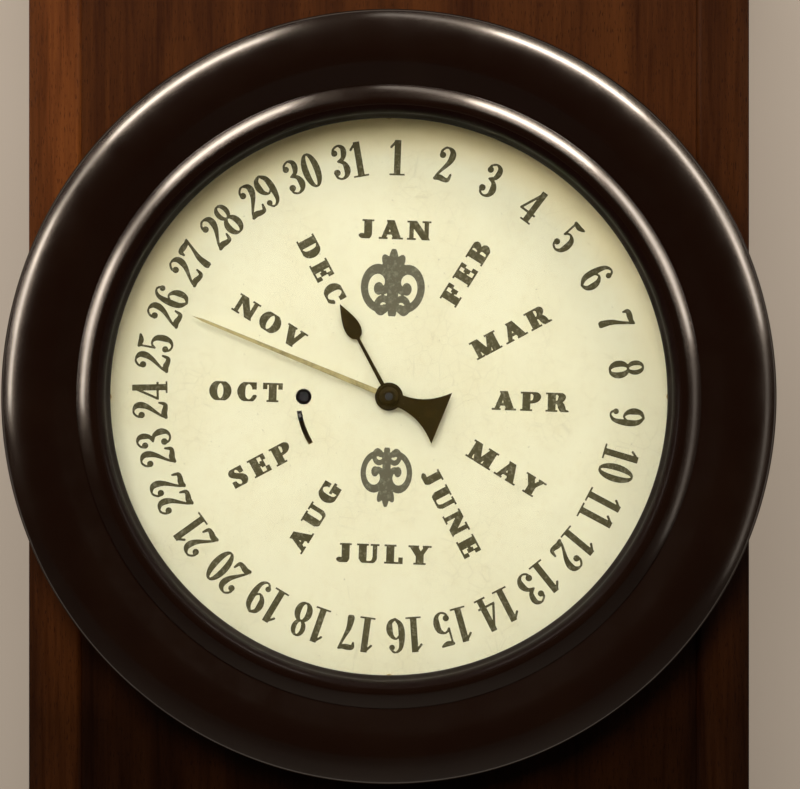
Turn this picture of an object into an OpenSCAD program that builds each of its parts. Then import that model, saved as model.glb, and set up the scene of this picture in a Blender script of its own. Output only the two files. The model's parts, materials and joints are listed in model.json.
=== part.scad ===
// Wall clock with a calendar dial: a turned black round door over a cream dial of dates and months,
// on a long narrow mahogany case, with an eight-day pendulum movement and calendar work inside.
// Every module is drawn in the dial's own frame: x to the right, y up, z out from the wall.
// facing() then stands it up, so that the wall is y = 0 and the dial looks along -Y.

/* [Case] */
// Width of the case over its two sides
case_width = 380; // [376:1:384]
// Height of the case over its top and bottom boards
case_height = 480; // [470:1:520]
// Depth from the wall to the face of the front panel
case_depth = 100; // [94:1:110]
// Thickness of the side, top and bottom boards
board = 12; // [10:1:14]
// Thickness of the backboard
back_board = 10; // [8:0.5:11]
// Thickness of the boards behind the dial
panel = 9; // [7:0.5:10]
// Width of each front stile
stile_width = 28; // [24:1:34]
// How far the stiles stand proud of the panel
stile_proud = 2; // [1.5:0.5:2.5]
// How far the top and bottom boards overhang the case
overhang = 9; // [5:1:14]

/* [Round door] */
// How far the turned frame stands past each side of the case
frame_overlap = 12; // [10:0.5:14]
// Width of the turned frame from its outer edge to the opening
frame_width = 56; // [54:0.5:58]
// Height of the turned frame from its back to its crest
frame_height = 34; // [32:0.5:36]
// Distance from the outer edge to the crest
rim_width = 19; // [17:0.5:21]
// Radius of the broad curve over the crest
crest_round = 33; // [29:1:36]
// Radius of the quick curve at the outer edge
rim_round = 4.5; // [4:0.5:7]
// Radius of the turned bead round the opening
bead_round = 7; // [6:0.25:7.5]
// Distance from the opening to the middle of the bead
bead_inset = 9.5; // [9:0.5:11]
// Thickness of the glass
glass_sheet = 2.6; // [2:0.2:2.8]
// Angle to which the door opens
door_swing = 110; // [60:5:120]

/* [Dial] */
// How far the dial plate runs on behind the frame
dial_lap = 6; // [5.5:0.5:8]
// Thickness of the dial plate
dial_sheet = 1.2; // [0.8:0.1:1.5]
// Distance of the winding hole from the middle of the dial
winding_offset = 45; // [44.5:0.25:46]
// Radius of the winding hole
winding_hole = 4.2; // [3.8:0.1:4.6]
// Turn of the printed scale and of the hands on the dial
dial_turn = 2; // [0:0.5:4]

/* [Hands] */
// Day of the month that the long hand points to
date_shown = 26; // [1:1:31]
// Month that the short hand points to
month_shown = 12; // [1:1:12]
// Length of the date hand from its centre
date_hand_reach = 112; // [95:1:118]
// Length of the date hand's fishtail from its centre
tail_reach = 30; // [26:1:34]
// Width of the fishtail at its end
tail_width = 29; // [22:1:32]
// Length of the month hand from its centre
month_hand_reach = 55; // [48:1:57]
// Thickness of the hands
hand_sheet = 0.8; // [0.6:0.1:1]

/* [Movement] */
// Thickness of the brass plates
plate = 1.6; // [1.2:0.1:2]
// Distance between the movement's two plates
plate_gap = 32.4; // [32:0.2:33]
// Length of the pendulum from its spring to the middle of the bob
pendulum_length = 182; // [160:2:184]
// Radius of the pendulum bob
bob_radius = 22; // [18:1:25]
// Thickness of the pendulum bob
bob_thick = 11; // [8:0.5:12]
// Swing of the pendulum to either side
pendulum_swing = 4; // [2:0.5:4]

/* [Hidden] */
$fn = 96;

// Colours of the materials
ebonised = [0.06, 0.05, 0.04];
mahogany = [0.36, 0.16, 0.08];
softwood = [0.62, 0.47, 0.30];
brass = [0.78, 0.62, 0.30];
steel = [0.62, 0.63, 0.65];
blued = [0.07, 0.07, 0.09];
cream = [0.93, 0.89, 0.75];
clear = [0.85, 0.93, 0.92, 0.35];

// Clearances: a hole over a fixed pin, a shaft that turns in a hole, two moving pieces side by side
fixed_fit = 0.03;
running_fit = 0.06;
side_gap = 0.4;

// Case, in the dial's frame
half_w = case_width / 2;
half_h = case_height / 2;
in_x = half_w - board;
in_y = half_h - board;
panel_back = case_depth - panel;
panel_x = half_w - stile_width;
stile_front = case_depth + stile_proud;
stile_slope = 8.5;
hole_half = 105;
nose = board / 2 - 0.8;

// Hanger
hanger_w = 36;
hanger_t = 2.5;
hanger_hole = 4.5;
hanger_y = half_h + 14;
hanger_low = in_y - 62;
hanger_screw_y = [in_y - 50, in_y - 32, in_y - 14];
hanger_screw_x = [0, -9, 9];
screw_r = 1.8;

// Round door
frame_radius = half_w + frame_overlap;
sight_radius = frame_radius - frame_width;
door_back = stile_front + side_gap;
rabbet_r = sight_radius + 5;
rabbet_z = door_back + 12;
glass_r = rabbet_r - 0.3;
glass_z = rabbet_z - glass_sheet;
bead_r = sight_radius + bead_inset;
bead_z = door_back + frame_height - bead_round - 1.4;
sight_z = door_back + 15.4;
edge_step = 0.5;
crest_lean = 20;
crest_at = [frame_radius - rim_width, door_back + frame_height - crest_round];
rim_lean = asin((rim_width - rim_round) / (crest_round - rim_round));
rim_at = crest_at + (crest_round - rim_round) * [sin(rim_lean), cos(rim_lean)];
slope_at = crest_at + (crest_round - 0.1) * [-sin(crest_lean), cos(crest_lean)];
slope_r = bead_r + bead_round - 1.2;

// Hinge on the right and hook on the left
leaf = 1.2;
knuckle_r = 2.6;
knuckle_n = 5;
hinge_len = 60;
pin_r = 1.2;
hinge_x = half_w + leaf + 0.3 + knuckle_r;
hinge_z = door_back - leaf - 0.3 - knuckle_r;
wire_r = 1;
hook_x = -half_w - 5;
eye_z = door_back - 6.4;
eye_r = 3;
hook_y = 5.5;
hook_back = eye_z - 34;
hook_lift = 30;

// Dial and its hands
date_step = 360 / 31;
date_angle = dial_turn + (date_shown - 1) * date_step;
month_angle = dial_turn + (month_shown - 1) * 30;
dial_back = case_depth;
dial_face = dial_back + dial_sheet;
dial_radius = sight_radius + dial_lap;
dial_screw_r = dial_radius - 3.5;
slot_r = 48;
slot_width = 2.6;
slot_from = 239;
slot_to = 261;
arbor_r = 2.5;
arbor_tip_r = 2;
pipe_r = 4;
month_hand_z = case_depth + 4;
date_hand_z = case_depth + 7;
nut_h = 2.4;
date_boss = 6.4;
month_boss = 7.4;
lance = 21;
lance_side = 4.2;

// Going movement: the plates, then the wheels from the great wheel to the escape wheel
post_r = 4;
plate_w = 62;
plate_h = 57;
pillar_x = 54;
pillar_y = 49;
pillar_nut = 2;
// Steps from the front plate out to the reduction wheel, day wheel, lever, date wheel, idler, month
// wheel and calendar plate, and the air behind the dial
reduction_step = 1.4;
day_step = 4;
lever_step = 3;
date_gap_out = 4;
idler_step = 4;
month_step = 3.5;
calendar_step = 3.5;
dial_room = 5.4;
calendar_depth = reduction_step + day_step + lever_step + date_gap_out + idler_step + month_step
    + calendar_step;
back_z = dial_back - dial_room - pillar_nut - 3 * plate - calendar_depth - plate_gap;
back_in = back_z + plate;
front_in = back_in + plate_gap;
front_out = front_in + plate;
great_teeth = 96;
centre_teeth = 80;
third_teeth = 80;
leaves = 8;
great_m = 0.8;
centre_m = 0.65;
third_m = 0.55;
great_at = [-winding_offset, 0];
centre_at = great_at + (great_teeth + leaves) / 2 * great_m * [cos(-28), sin(-28)];
third_at = centre_at + (centre_teeth + leaves) / 2 * centre_m * [cos(40), sin(40)];
third_reach = (third_teeth + leaves) / 2 * third_m;
escape_at = [0, third_at[1] + sqrt(third_reach * third_reach - third_at[0] * third_at[0])];
escape_r = 13;
escape_teeth = 42;
verge_at = escape_at + [0, escape_r + 6];
barrel_r = 29;
barrel_wall = 1.2;
core_r = 5;
spring_sheet = 0.9;
spring_in = core_r + 1.2;
spring_run = barrel_r - barrel_wall - 0.3 - spring_sheet - spring_in;
great_z = back_in + 4.4;
centre_z = front_in - 4;
third_z = back_in + 12.4;
escape_z = back_in + 20.4;
pendulum_z = (back_board + back_z) / 2;
crutch = 50;
crutch_z = pendulum_z + 5;

// Calendar work in front of the movement
hour_leaves = 10;
reduction_teeth = 40;
day_teeth = 48;
day_m = 0.6;
reduction_at = centre_at + (hour_leaves + reduction_teeth) / 2 * day_m * [cos(-80), sin(-80)];
day_at = reduction_at + (leaves + day_teeth) / 2 * day_m * [cos(-10), sin(-10)];
reduction_z = front_out + reduction_step;
day_z = reduction_z + day_step;
lever_z = day_z + lever_step;
date_wheel_z = lever_z + date_gap_out;
idler_z = date_wheel_z + idler_step;
month_z = idler_z + month_step;
calendar_z = month_z + calendar_step;
calendar_half = 38;
calendar_pillar = 32;
date_teeth = 31;
date_r = 26;
month_teeth = 24;
idler_teeth = 32;
idler_reach = 18;
date_m = 2 * idler_reach / (leaves + idler_teeth);
month_m = 2 * idler_reach / (leaves + month_teeth);
idler_at = idler_reach * [cos(60), sin(60)];
lever_angle = 258;
lever_sheet = 1.6;
pawl_r = 33;
pawl_angle = 247;
weight_r = 7.5;
weight_arm = 37;
weight_angle = 100;

// Point at a dial angle, clockwise from twelve
function dial_point(r, a) = [r * sin(a), r * cos(a)];

// Direction of one wheel from another, as a mathematical angle
function bearing(from, to) = atan2(to[1] - from[1], to[0] - from[0]);

// Outline of one tooth at angle a: foot, shoulder, tip and back down
function tooth(a, foot, foot_half, tip, tip_half) = [
    for (p = [[foot, -foot_half], [tip, -tip_half], [tip, tip_half], [foot, foot_half]])
        let (b = a + p[1] / p[0] * 180 / PI) p[0] * [cos(b), sin(b)]
];

// Toothed wheel with narrow teeth, one of them at angle 0
function wheel_points(teeth, m) = [
    for (i = [0 : teeth - 1])
        each tooth(i * 360 / teeth, m * (teeth / 2 - 1.25), 0.72 * m, m * (teeth / 2 + 0.95), 0.24 * m)
];

// Pinion with slim leaves, one of them at angle 0
function pinion_points(teeth, m) = [
    for (i = [0 : teeth - 1])
        each tooth(i * 360 / teeth, m * (teeth / 2 - 1.35), 0.4 * m, m * (teeth / 2 + 0.75), 0.24 * m)
];

// Ratchet wheel whose teeth lean one way
function ratchet_points(teeth, foot, tip) = [
    for (i = [0 : teeth - 1])
        let (s = 360 / teeth)
            each [dial_point(foot, i * s), dial_point(tip, (i + 0.08) * s), dial_point(tip, (i + 0.2) * s)]
];

// Stands a piece up from the dial's frame
module facing() rotate([90, 0, 0]) children();

// Box between three pairs of limits
module block(x, y, z) translate([x[0], y[0], z[0]]) cube([x[1] - x[0], y[1] - y[0], z[1] - z[0]]);

// Round bar out from the wall between two depths
module bar(r, z0, z1) translate([0, 0, z0]) cylinder(r = r, h = z1 - z0);

// Flat piece of a given outline between two depths
module sheet(z0, z1) translate([0, 0, z0]) linear_extrude(z1 - z0) children();

module at(p) translate([p[0], p[1], 0]) children();

// Outline of a wheel crossed out to four arms
module crossed(points, rim, hub, arm) difference() {
    polygon(points);
    difference() {
        circle(rim);
        circle(hub);
        square([3 * rim, arm], center = true);
        square([arm, 3 * rim], center = true);
    }
}

// Outline of a movement plate with its corners cut
module plate_outline(w, h, cut) polygon([[-w, -h + cut], [-w + cut, -h], [w - cut, -h], [w, -h + cut],
    [w, h - cut], [w - cut, h], [-w + cut, h], [-w, h - cut]]);

// Four places at the corners of a rectangle
module corners(x, y) for (sx = [-1, 1], sy = [-1, 1]) translate([sx * x, sy * y, 0]) children();

// Case

module backboard() color(softwood) facing() difference() {
    block([-in_x, in_x], [-in_y, in_y], [0, back_board]);
    block([-hanger_w / 2 - 0.2, hanger_w / 2 + 0.2], [hanger_low - 0.2, in_y + 1], [-1, hanger_t]);
    for (i = [0 : 2])
        at([hanger_screw_x[i], hanger_screw_y[i]]) bar(screw_r + fixed_fit, 0, back_board - 1);
}

module side_board(s) color(mahogany) facing() difference() {
    block([min(s * half_w, s * in_x), max(s * half_w, s * in_x)], [-in_y, in_y], [0, panel_back]);
    if (s < 0)
        translate([-half_w - 1, hook_y, hook_back]) rotate([0, 90, 0])
            cylinder(r = 1.5 + fixed_fit, h = 9);
}

module left_side() side_board(-1);

module right_side() side_board(1);

// Top or bottom board with a rounded front edge
module nosed_board() translate([-half_w - overhang, 0, 0]) rotate([90, 0, 90])
    linear_extrude(case_width + 2 * overhang) union() {
        square([board, stile_front + overhang - nose]);
        translate([board / 2, stile_front + overhang - nose]) circle(nose);
    }

module top_board() color(mahogany) facing() difference() {
    translate([0, in_y, 0]) nosed_board();
    block([-hanger_w / 2 - 0.3, hanger_w / 2 + 0.3], [in_y - 1, half_h + 1], [-1, hanger_t + 0.3]);
}

module bottom_board() color(mahogany) facing() translate([0, -half_h, 0]) nosed_board();

module upper_panel() color(mahogany) facing() difference() {
    block([-panel_x, panel_x], [hole_half, in_y], [panel_back, case_depth]);
    at([0, dial_screw_r]) bar(1 + fixed_fit, panel_back - 1, case_depth + 1);
}

module lower_panel() color(mahogany) facing() difference() {
    block([-panel_x, panel_x], [-in_y, -hole_half], [panel_back, case_depth]);
    at([0, -dial_screw_r]) bar(1 + fixed_fit, panel_back - 1, case_depth + 1);
}

module cheek(s) color(mahogany) facing() difference() {
    block([min(s * panel_x, s * hole_half), max(s * panel_x, s * hole_half)], [-hole_half, hole_half],
        [panel_back, case_depth]);
    at([s * dial_screw_r, 0]) bar(1 + fixed_fit, panel_back - 1, case_depth + 1);
}

module left_cheek() cheek(-1);

module right_cheek() cheek(1);

// Front stile, chamfered inside and sloping back outside
module stile(s) color(mahogany) facing() translate([0, in_y, 0]) rotate([90, 0, 0])
    linear_extrude(2 * in_y)
        polygon([[s * half_w, panel_back], [s * half_w, case_depth],
            [s * (half_w - stile_slope), stile_front], [s * (panel_x + stile_proud), stile_front],
            [s * panel_x, case_depth], [s * panel_x, panel_back]]);

module left_stile() stile(-1);

module right_stile() stile(1);

module hanger_plate() color(brass) facing() difference() {
    sheet(0, hanger_t) union() {
        translate([-hanger_w / 2, hanger_low]) square([hanger_w, hanger_y - hanger_low]);
        translate([0, hanger_y]) circle(hanger_w / 2 - 0.5);
    }
    at([0, hanger_y]) bar(hanger_hole, -1, hanger_t + 1);
    for (i = [0 : 2]) at([hanger_screw_x[i], hanger_screw_y[i]]) {
        bar(screw_r + 0.2, -1, hanger_t + 1);
        translate([0, 0, -0.1]) cylinder(r1 = 2 * screw_r + 0.3, r2 = screw_r + 0.2, h = hanger_t - 0.4);
    }
}

module hanger_screws() color(steel) facing()
    for (i = [0 : 2]) at([hanger_screw_x[i], hanger_screw_y[i]]) {
        bar(screw_r, 0.1, back_board - 1.5);
        translate([0, 0, 0.1]) cylinder(r1 = 2 * screw_r, r2 = screw_r - 0.1, h = hanger_t - 0.6);
    }

// Hinge and hook of the round door

// Knuckles number first, first + 2 and so on, with a hole for the pin
module knuckles(first, bore) for (i = [first : 2 : knuckle_n - 1])
    translate([hinge_x, -hinge_len / 2 + i * hinge_len / knuckle_n + 0.2, hinge_z]) rotate([-90, 0, 0])
        difference() {
            cylinder(r = knuckle_r, h = hinge_len / knuckle_n - 0.4);
            translate([0, 0, -1]) cylinder(r = bore, h = hinge_len);
        }

// Web that joins every second knuckle to its leaf
module webs(first, x, z) for (i = [first : 2 : knuckle_n - 1])
    translate([0, -hinge_len / 2 + i * hinge_len / knuckle_n + 0.2, 0])
        block(x, [0, hinge_len / knuckle_n - 0.4], z);

module hinge_case_leaf() color(brass) facing() union() {
    block([half_w, half_w + leaf], [-hinge_len / 2, hinge_len / 2], [hinge_z - 20, hinge_z + 0.6]);
    knuckles(0, pin_r + fixed_fit);
    webs(0, [half_w + 0.2, hinge_x - 1], [hinge_z - knuckle_r + 0.35, hinge_z - pin_r - 0.2]);
}

module hinge_door_leaf() color(brass) facing() union() {
    block([half_w + 0.8, half_w + 6.4], [-hinge_len / 2, hinge_len / 2], [door_back - leaf, door_back]);
    knuckles(1, pin_r + running_fit);
    webs(1, [hinge_x - 0.9, hinge_x + 0.9], [hinge_z + pin_r + 0.2, door_back - leaf / 2]);
}

module hinge_pin() color(brass) facing() translate([hinge_x, 0, hinge_z]) rotate([-90, 0, 0]) union() {
    translate([0, 0, -hinge_len / 2 - 1]) cylinder(r = pin_r, h = hinge_len + 2);
    for (s = [-1, 1]) translate([0, 0, s * (hinge_len / 2 + 1.6)]) sphere(r = 1.9);
}

module hook_screw() color(steel) facing() translate([-half_w, hook_y, hook_back]) rotate([0, 90, 0]) union() {
    translate([0, 0, -7.4]) cylinder(r = 1.5, h = 15);
    translate([0, 0, -9]) cylinder(r = 3.2, h = 1.7);
}

// Lifted clear of its eye, as it is left while the door swings
module door_hook() color(brass) facing() translate([hook_x, hook_y, hook_back]) rotate([-hook_lift, 0, 0])
    difference() {
        union() {
            translate([-1.5, 0, 0]) rotate([0, 90, 0]) cylinder(r = 3.8, h = 3);
            bar(wire_r, 3, 34);
            translate([0, 0, 34]) sphere(r = wire_r + 0.25);
            translate([0, 0, 34]) rotate([90, 0, 0]) cylinder(r1 = wire_r - 0.05, r2 = 0.7, h = 7.5);
        }
        translate([-4, 0, 0]) rotate([0, 90, 0]) cylinder(r = 1.5 + running_fit, h = 8);
    }

module hook_eye() color(brass) facing() translate([hook_x, 0, eye_z]) union() {
    rotate([90, 0, 0]) rotate_extrude() translate([eye_r, 0]) circle(wire_r);
    bar(1.3, eye_r, door_back - eye_z);
}

// Door

// Part of the crest's disc between two leans from straight out
module crest_sector(inward, outward) intersection() {
    translate(crest_at) circle(crest_round);
    polygon([crest_at, crest_at + 2 * crest_round * [sin(outward), cos(outward)],
        crest_at + 2 * crest_round * [-sin(inward), cos(inward)]]);
}

module round_frame() color(ebonised) facing() rotate_extrude() union() {
    polygon([[rabbet_r, door_back], [frame_radius - edge_step, door_back],
        [frame_radius - edge_step, rim_at[1]], rim_at, crest_at + [0, crest_round - 4], slope_at,
        [slope_r, slope_at[1] - (slope_at[0] - slope_r) * tan(crest_lean)],
        [bead_r - bead_round + 1.6, bead_z - 1], [sight_radius, sight_z], [sight_radius, rabbet_z],
        [rabbet_r, rabbet_z]]);
    crest_sector(crest_lean + 1.5, rim_lean + 2);
    translate(rim_at) circle(rim_round - 0.03);
    translate([bead_r, bead_z]) circle(bead_round);
}

module glass() color(clear) facing() bar(glass_r, glass_z, rabbet_z);

// Bevelled strip that holds the glass in its rabbet
module glass_bead() color(ebonised) facing() rotate_extrude()
    polygon([[glass_r, glass_z], [glass_r, glass_z - 4.6], [glass_r - 1.2, glass_z - 4.6],
        [sight_radius + 0.6, glass_z]]);

// Dial and hands

module dial_plate() color(cream) facing() sheet(dial_back, dial_face) difference() {
    circle(dial_radius);
    circle(pipe_r + 2);
    translate(great_at) circle(winding_hole);
    intersection() {
        difference() {
            circle(slot_r + slot_width / 2);
            circle(slot_r - slot_width / 2);
        }
        polygon([[0, 0], dial_point(2 * slot_r, slot_from), dial_point(2 * slot_r, slot_to)]);
    }
    for (a = [0 : 90 : 270]) translate(dial_point(dial_screw_r, a)) circle(1 + fixed_fit);
}

module dial_screws() color(brass) facing()
    for (a = [0 : 90 : 270]) at(dial_point(dial_screw_r, a)) union() {
        bar(1, panel_back + 1, dial_face + 0.6);
        bar(2.3, dial_face, dial_face + 1);
    }

// Half width of the fishtail at a share t of its length, flaring in a hollow curve
function tail_half(t) = 3.4 + (tail_width / 2 - 3.4) * pow(t, 2.4);

module date_hand() color(blued) facing() rotate([0, 0, -date_angle]) difference() {
    union() {
        bar(date_boss, date_hand_z, date_hand_z + hand_sheet);
        sheet(date_hand_z, date_hand_z + hand_sheet)
            polygon([[-1.5, 4], [-0.75, date_hand_reach - 6], [0, date_hand_reach],
                [0.75, date_hand_reach - 6], [1.5, 4]]);
        sheet(date_hand_z, date_hand_z + hand_sheet) polygon([
            for (i = [0 : 10]) [-tail_half(i / 10), -4 - (tail_reach - 4) * i / 10],
            for (i = [10 : -1 : 0]) [tail_half(i / 10), -4 - (tail_reach - 4) * i / 10]
        ]);
    }
    bar(arbor_tip_r + fixed_fit, date_hand_z - 1, date_hand_z + hand_sheet + 1);
}

module hand_nut() color(brass) facing() difference() {
    union() {
        bar(5, date_hand_z + hand_sheet, date_hand_z + hand_sheet + nut_h * 0.6);
        translate([0, 0, date_hand_z + hand_sheet + nut_h * 0.6])
            cylinder(r1 = 5, r2 = 3.4, h = nut_h * 0.4);
    }
    bar(arbor_tip_r + fixed_fit, date_hand_z - 1, date_hand_z + hand_sheet + nut_h + 1);
}

// Half width of the month hand's lance at a share t of its length
function lance_half(t) = lance_side * sin(180 * pow(t, 0.62)) + 0.15;

module month_hand() color(blued) facing() rotate([0, 0, -month_angle]) difference() {
    union() {
        sheet(month_hand_z, month_hand_z + hand_sheet) union() {
            circle(month_boss);
            polygon([[-1.1, 5], [-0.8, month_hand_reach - lance + 2],
                [0.8, month_hand_reach - lance + 2], [1.1, 5]]);
            polygon([
                for (i = [0 : 12]) [-lance_half(i / 12), month_hand_reach - lance + lance * i / 12],
                for (i = [12 : -1 : 0]) [lance_half(i / 12), month_hand_reach - lance + lance * i / 12]
            ]);
        }
        bar(5.2, month_hand_z - 1.6, month_hand_z + hand_sheet / 2);
    }
    bar(pipe_r + fixed_fit, month_hand_z - 3, month_hand_z + 3);
}

// Date and month work

module date_arbor() color(steel) facing() union() {
    bar(arbor_tip_r, front_in - 0.6, front_out + 0.6);
    bar(arbor_r, front_out + 0.4, date_hand_z - 0.3);
    bar(arbor_tip_r, date_hand_z - 1, date_hand_z + hand_sheet + nut_h - 0.4);
    sheet(idler_z, idler_z + 2.4)
        rotate(bearing([0, 0], idler_at) + 180 / leaves) polygon(pinion_points(leaves, date_m));
}

module date_wheel() color(brass) facing() difference() {
    union() {
        sheet(date_wheel_z, date_wheel_z + 1.6)
            crossed(ratchet_points(date_teeth, date_r - 2.6, date_r), date_r - 6, 7, 4);
        bar(6, date_wheel_z - 0.8, date_wheel_z + 3.4);
    }
    bar(arbor_r + fixed_fit, date_wheel_z - 2, date_wheel_z + 5);
}

module month_wheel() color(brass) facing() difference() {
    union() {
        sheet(month_z, month_z + 2)
            rotate(bearing([0, 0], idler_at)) polygon(wheel_points(month_teeth, month_m));
        bar(pipe_r, month_z + 1, month_hand_z + hand_sheet + 0.6);
    }
    bar(arbor_r + running_fit, month_z - 1, date_hand_z);
}

module month_idler() color(brass) facing() at(idler_at) difference() {
    union() {
        sheet(idler_z, idler_z + 2.4)
            rotate(bearing(idler_at, [0, 0])) polygon(wheel_points(idler_teeth, date_m));
        sheet(idler_z + 1, month_z + 2.4)
            rotate(bearing(idler_at, [0, 0]) + 180 / leaves) polygon(pinion_points(leaves, month_m));
    }
    bar(1.5 + running_fit, idler_z - 1, month_z + 4);
}

// Lever that a pin on the day wheel rocks once a day; its weight brings it back
module date_lever() color(steel) facing() difference() {
    union() {
        bar(6, lever_z - 0.6, lever_z + 2.4);
        sheet(lever_z, lever_z + lever_sheet) {
            rotate(-lever_angle) translate([-3, 0]) square([6, slot_r + 3]);
            rotate(-pawl_angle) translate([-3, 0]) square([6, pawl_r + 3]);
            rotate(-weight_angle) translate([-3, 0]) square([6, weight_arm]);
            rotate(bearing([0, 0], day_at) - 90) translate([-2.5, 0]) square([5, 31]);
        }
        at(dial_point(slot_r, lever_angle)) bar(0.9, lever_z + 1, dial_face + 1.3);
        at(dial_point(pawl_r, pawl_angle)) bar(1, lever_z + 1, date_wheel_z + 2.4);
        at(dial_point(weight_arm, weight_angle)) bar(weight_r, lever_z - 1.4, lever_z + 4.6);
    }
    bar(arbor_r + running_fit, lever_z - 2, lever_z + 5);
}

module date_pawl() color(steel) facing() at(dial_point(pawl_r, pawl_angle)) rotate(-pawl_angle) difference() {
    union() {
        bar(2.6, date_wheel_z, date_wheel_z + 1.6);
        sheet(date_wheel_z, date_wheel_z + 1.6)
            polygon([[2.2, 0.6], [9.6, -7], [9, -8.1], [7.6, -7.4], [-0.6, -2]]);
    }
    bar(1 + running_fit, date_wheel_z - 1, date_wheel_z + 3);
}

module date_jumper() color(steel) facing() union() {
    at([date_r + 4, 22]) bar(2.2, front_out, date_wheel_z + 1.6);
    sheet(date_wheel_z, date_wheel_z + 1.6)
        polygon([[date_r + 5, 23], [date_r + 3.2, 23.2], [date_r + 0.6, 8], [date_r + 0.05, 4.3],
            [date_r + 1, 3.4], [date_r + 2.2, 8]]);
}

module wheel_studs() color(steel) facing() {
    at(idler_at) union() {
        bar(1.5, idler_z - 0.6, calendar_z);
        bar(2.6, idler_z - 1.6, idler_z - 0.4);
        bar(2.6, month_z + 2.7, calendar_z);
    }
    at(reduction_at) union() {
        bar(1.5, front_out, day_z + 3.2);
        bar(2.6, day_z + 2.9, day_z + 4);
    }
    at(day_at) union() {
        bar(1.5, front_out, day_z + 2.6);
        bar(3, front_out, day_z - 0.6);
        bar(2.4, day_z + 2.4, day_z + 3.2);
    }
}

module reduction_wheel() color(brass) facing() at(reduction_at) difference() {
    union() {
        sheet(reduction_z, reduction_z + 2)
            rotate(bearing(reduction_at, centre_at)) polygon(wheel_points(reduction_teeth, day_m));
        sheet(reduction_z + 1, day_z + 2.4)
            rotate(bearing(reduction_at, day_at)) polygon(pinion_points(leaves, day_m));
    }
    bar(1.5 + running_fit, reduction_z - 1, day_z + 4);
}

// Turns once in 24 hours; its pin trips the date lever
module day_wheel() color(brass) facing() at(day_at) difference() {
    union() {
        sheet(day_z, day_z + 2)
            rotate(bearing(day_at, reduction_at) + 180 / day_teeth) polygon(wheel_points(day_teeth, day_m));
        at(11 * day_at / norm(day_at)) bar(1.1, day_z + 1, lever_z + 2);
    }
    bar(1.5 + running_fit, day_z - 1, day_z + 4);
}

module calendar_plate() color(brass) facing() sheet(calendar_z, calendar_z + plate) difference() {
    plate_outline(calendar_half, calendar_half, 6);
    circle(pipe_r + running_fit);
    corners(calendar_pillar, calendar_pillar) circle(2 + fixed_fit);
}

module calendar_pillars() color(brass) facing() corners(calendar_pillar, calendar_pillar) union() {
    bar(3, front_out, calendar_z);
    bar(2, calendar_z - 1, calendar_z + plate + 1.8);
}

// Going movement

module movement_posts() color(brass) facing() corners(pillar_x, pillar_y) bar(post_r, back_board, back_z);

module back_plate() color(brass) facing() sheet(back_z, back_in) difference() {
    plate_outline(plate_w, plate_h, 8);
    corners(pillar_x, pillar_y) circle(2 + fixed_fit);
    translate(great_at) circle(2.4 + running_fit);
    translate(centre_at) circle(1.5 + running_fit);
    translate(third_at) circle(1 + running_fit);
    translate(escape_at) circle(0.8 + running_fit);
    translate(verge_at) circle(1.5 + running_fit);
}

module front_plate() color(brass) facing() sheet(front_in, front_out) difference() {
    plate_outline(plate_w, plate_h, 8);
    corners(pillar_x, pillar_y) circle(2 + fixed_fit);
    translate(great_at) circle(3 + running_fit);
    translate(centre_at) circle(1.5 + running_fit);
    translate(third_at) circle(1 + running_fit);
    translate(escape_at) circle(0.8 + running_fit);
    translate(verge_at) circle(1.5 + running_fit);
    circle(arbor_tip_r + running_fit);
}

module plate_pillars() color(brass) facing() corners(pillar_x, pillar_y) union() {
    bar(2, back_z, front_out + 2.4);
    bar(3.5, back_in, front_in);
}

// Nuts on the pillars of the movement and of the calendar plate
module pillar_nuts() color(steel) facing() {
    corners(pillar_x, pillar_y) nut(front_out);
    corners(calendar_pillar, calendar_pillar) nut(calendar_z + plate);
}

module nut(z) difference() {
    translate([0, 0, z]) cylinder(r = 3.8, h = pillar_nut, $fn = 6);
    bar(2 + fixed_fit, z - 1, z + pillar_nut + 1);
}

// Drum of the mainspring with the great wheel's teeth on its back edge
module great_wheel() color(brass) facing() at(great_at) difference() {
    union() {
        sheet(great_z, great_z + 2.5)
            rotate(bearing(great_at, centre_at)) polygon(wheel_points(great_teeth, great_m));
        bar(barrel_r, great_z + 1, great_z + 20);
    }
    bar(barrel_r - barrel_wall, great_z + 2.5, great_z + 19);
    bar(3 + running_fit, great_z - 1, great_z + 21);
}

// Spring coiled from the arbor's core out to the drum's wall
module mainspring() color(blued) facing() at(great_at) sheet(great_z + 3.2, great_z + 18.2) polygon([
    for (i = [0 : 144]) (spring_in + spring_run * i / 144) * [cos(i * 15), sin(i * 15)],
    for (i = [144 : -1 : 0]) (spring_in + spring_sheet + spring_run * i / 144) * [cos(i * 15), sin(i * 15)]
]);

module winding_arbor() color(steel) facing() at(great_at) union() {
    bar(2.4, back_z, back_in + 1);
    bar(3, back_in + 0.4, case_depth - 12);
    bar(core_r, great_z + 3.2, great_z + 18.2);
    block([-2.1, 2.1], [-2.1, 2.1], [case_depth - 13, case_depth - 2.6]);
}

module ratchet_wheel() color(steel) facing() at(great_at) sheet(front_out + 0.6, front_out + 2.6)
    difference() {
        mirror([1, 0]) polygon(ratchet_points(20, 9.2, 11));
        circle(3 + fixed_fit);
    }

// Click on its screw, drawn just clear of the ratchet's teeth
module click() color(steel) facing() at(great_at) union() {
    at([10, 14]) bar(2, front_out, front_out + 3.4);
    sheet(front_out + 0.6, front_out + 2.6) polygon([[12.4, 13], [10.6, 16.4], [7.4, 15.6], [0.4, 13.4],
        [0.2, 11.6], [2.4, 12]]);
}

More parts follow.
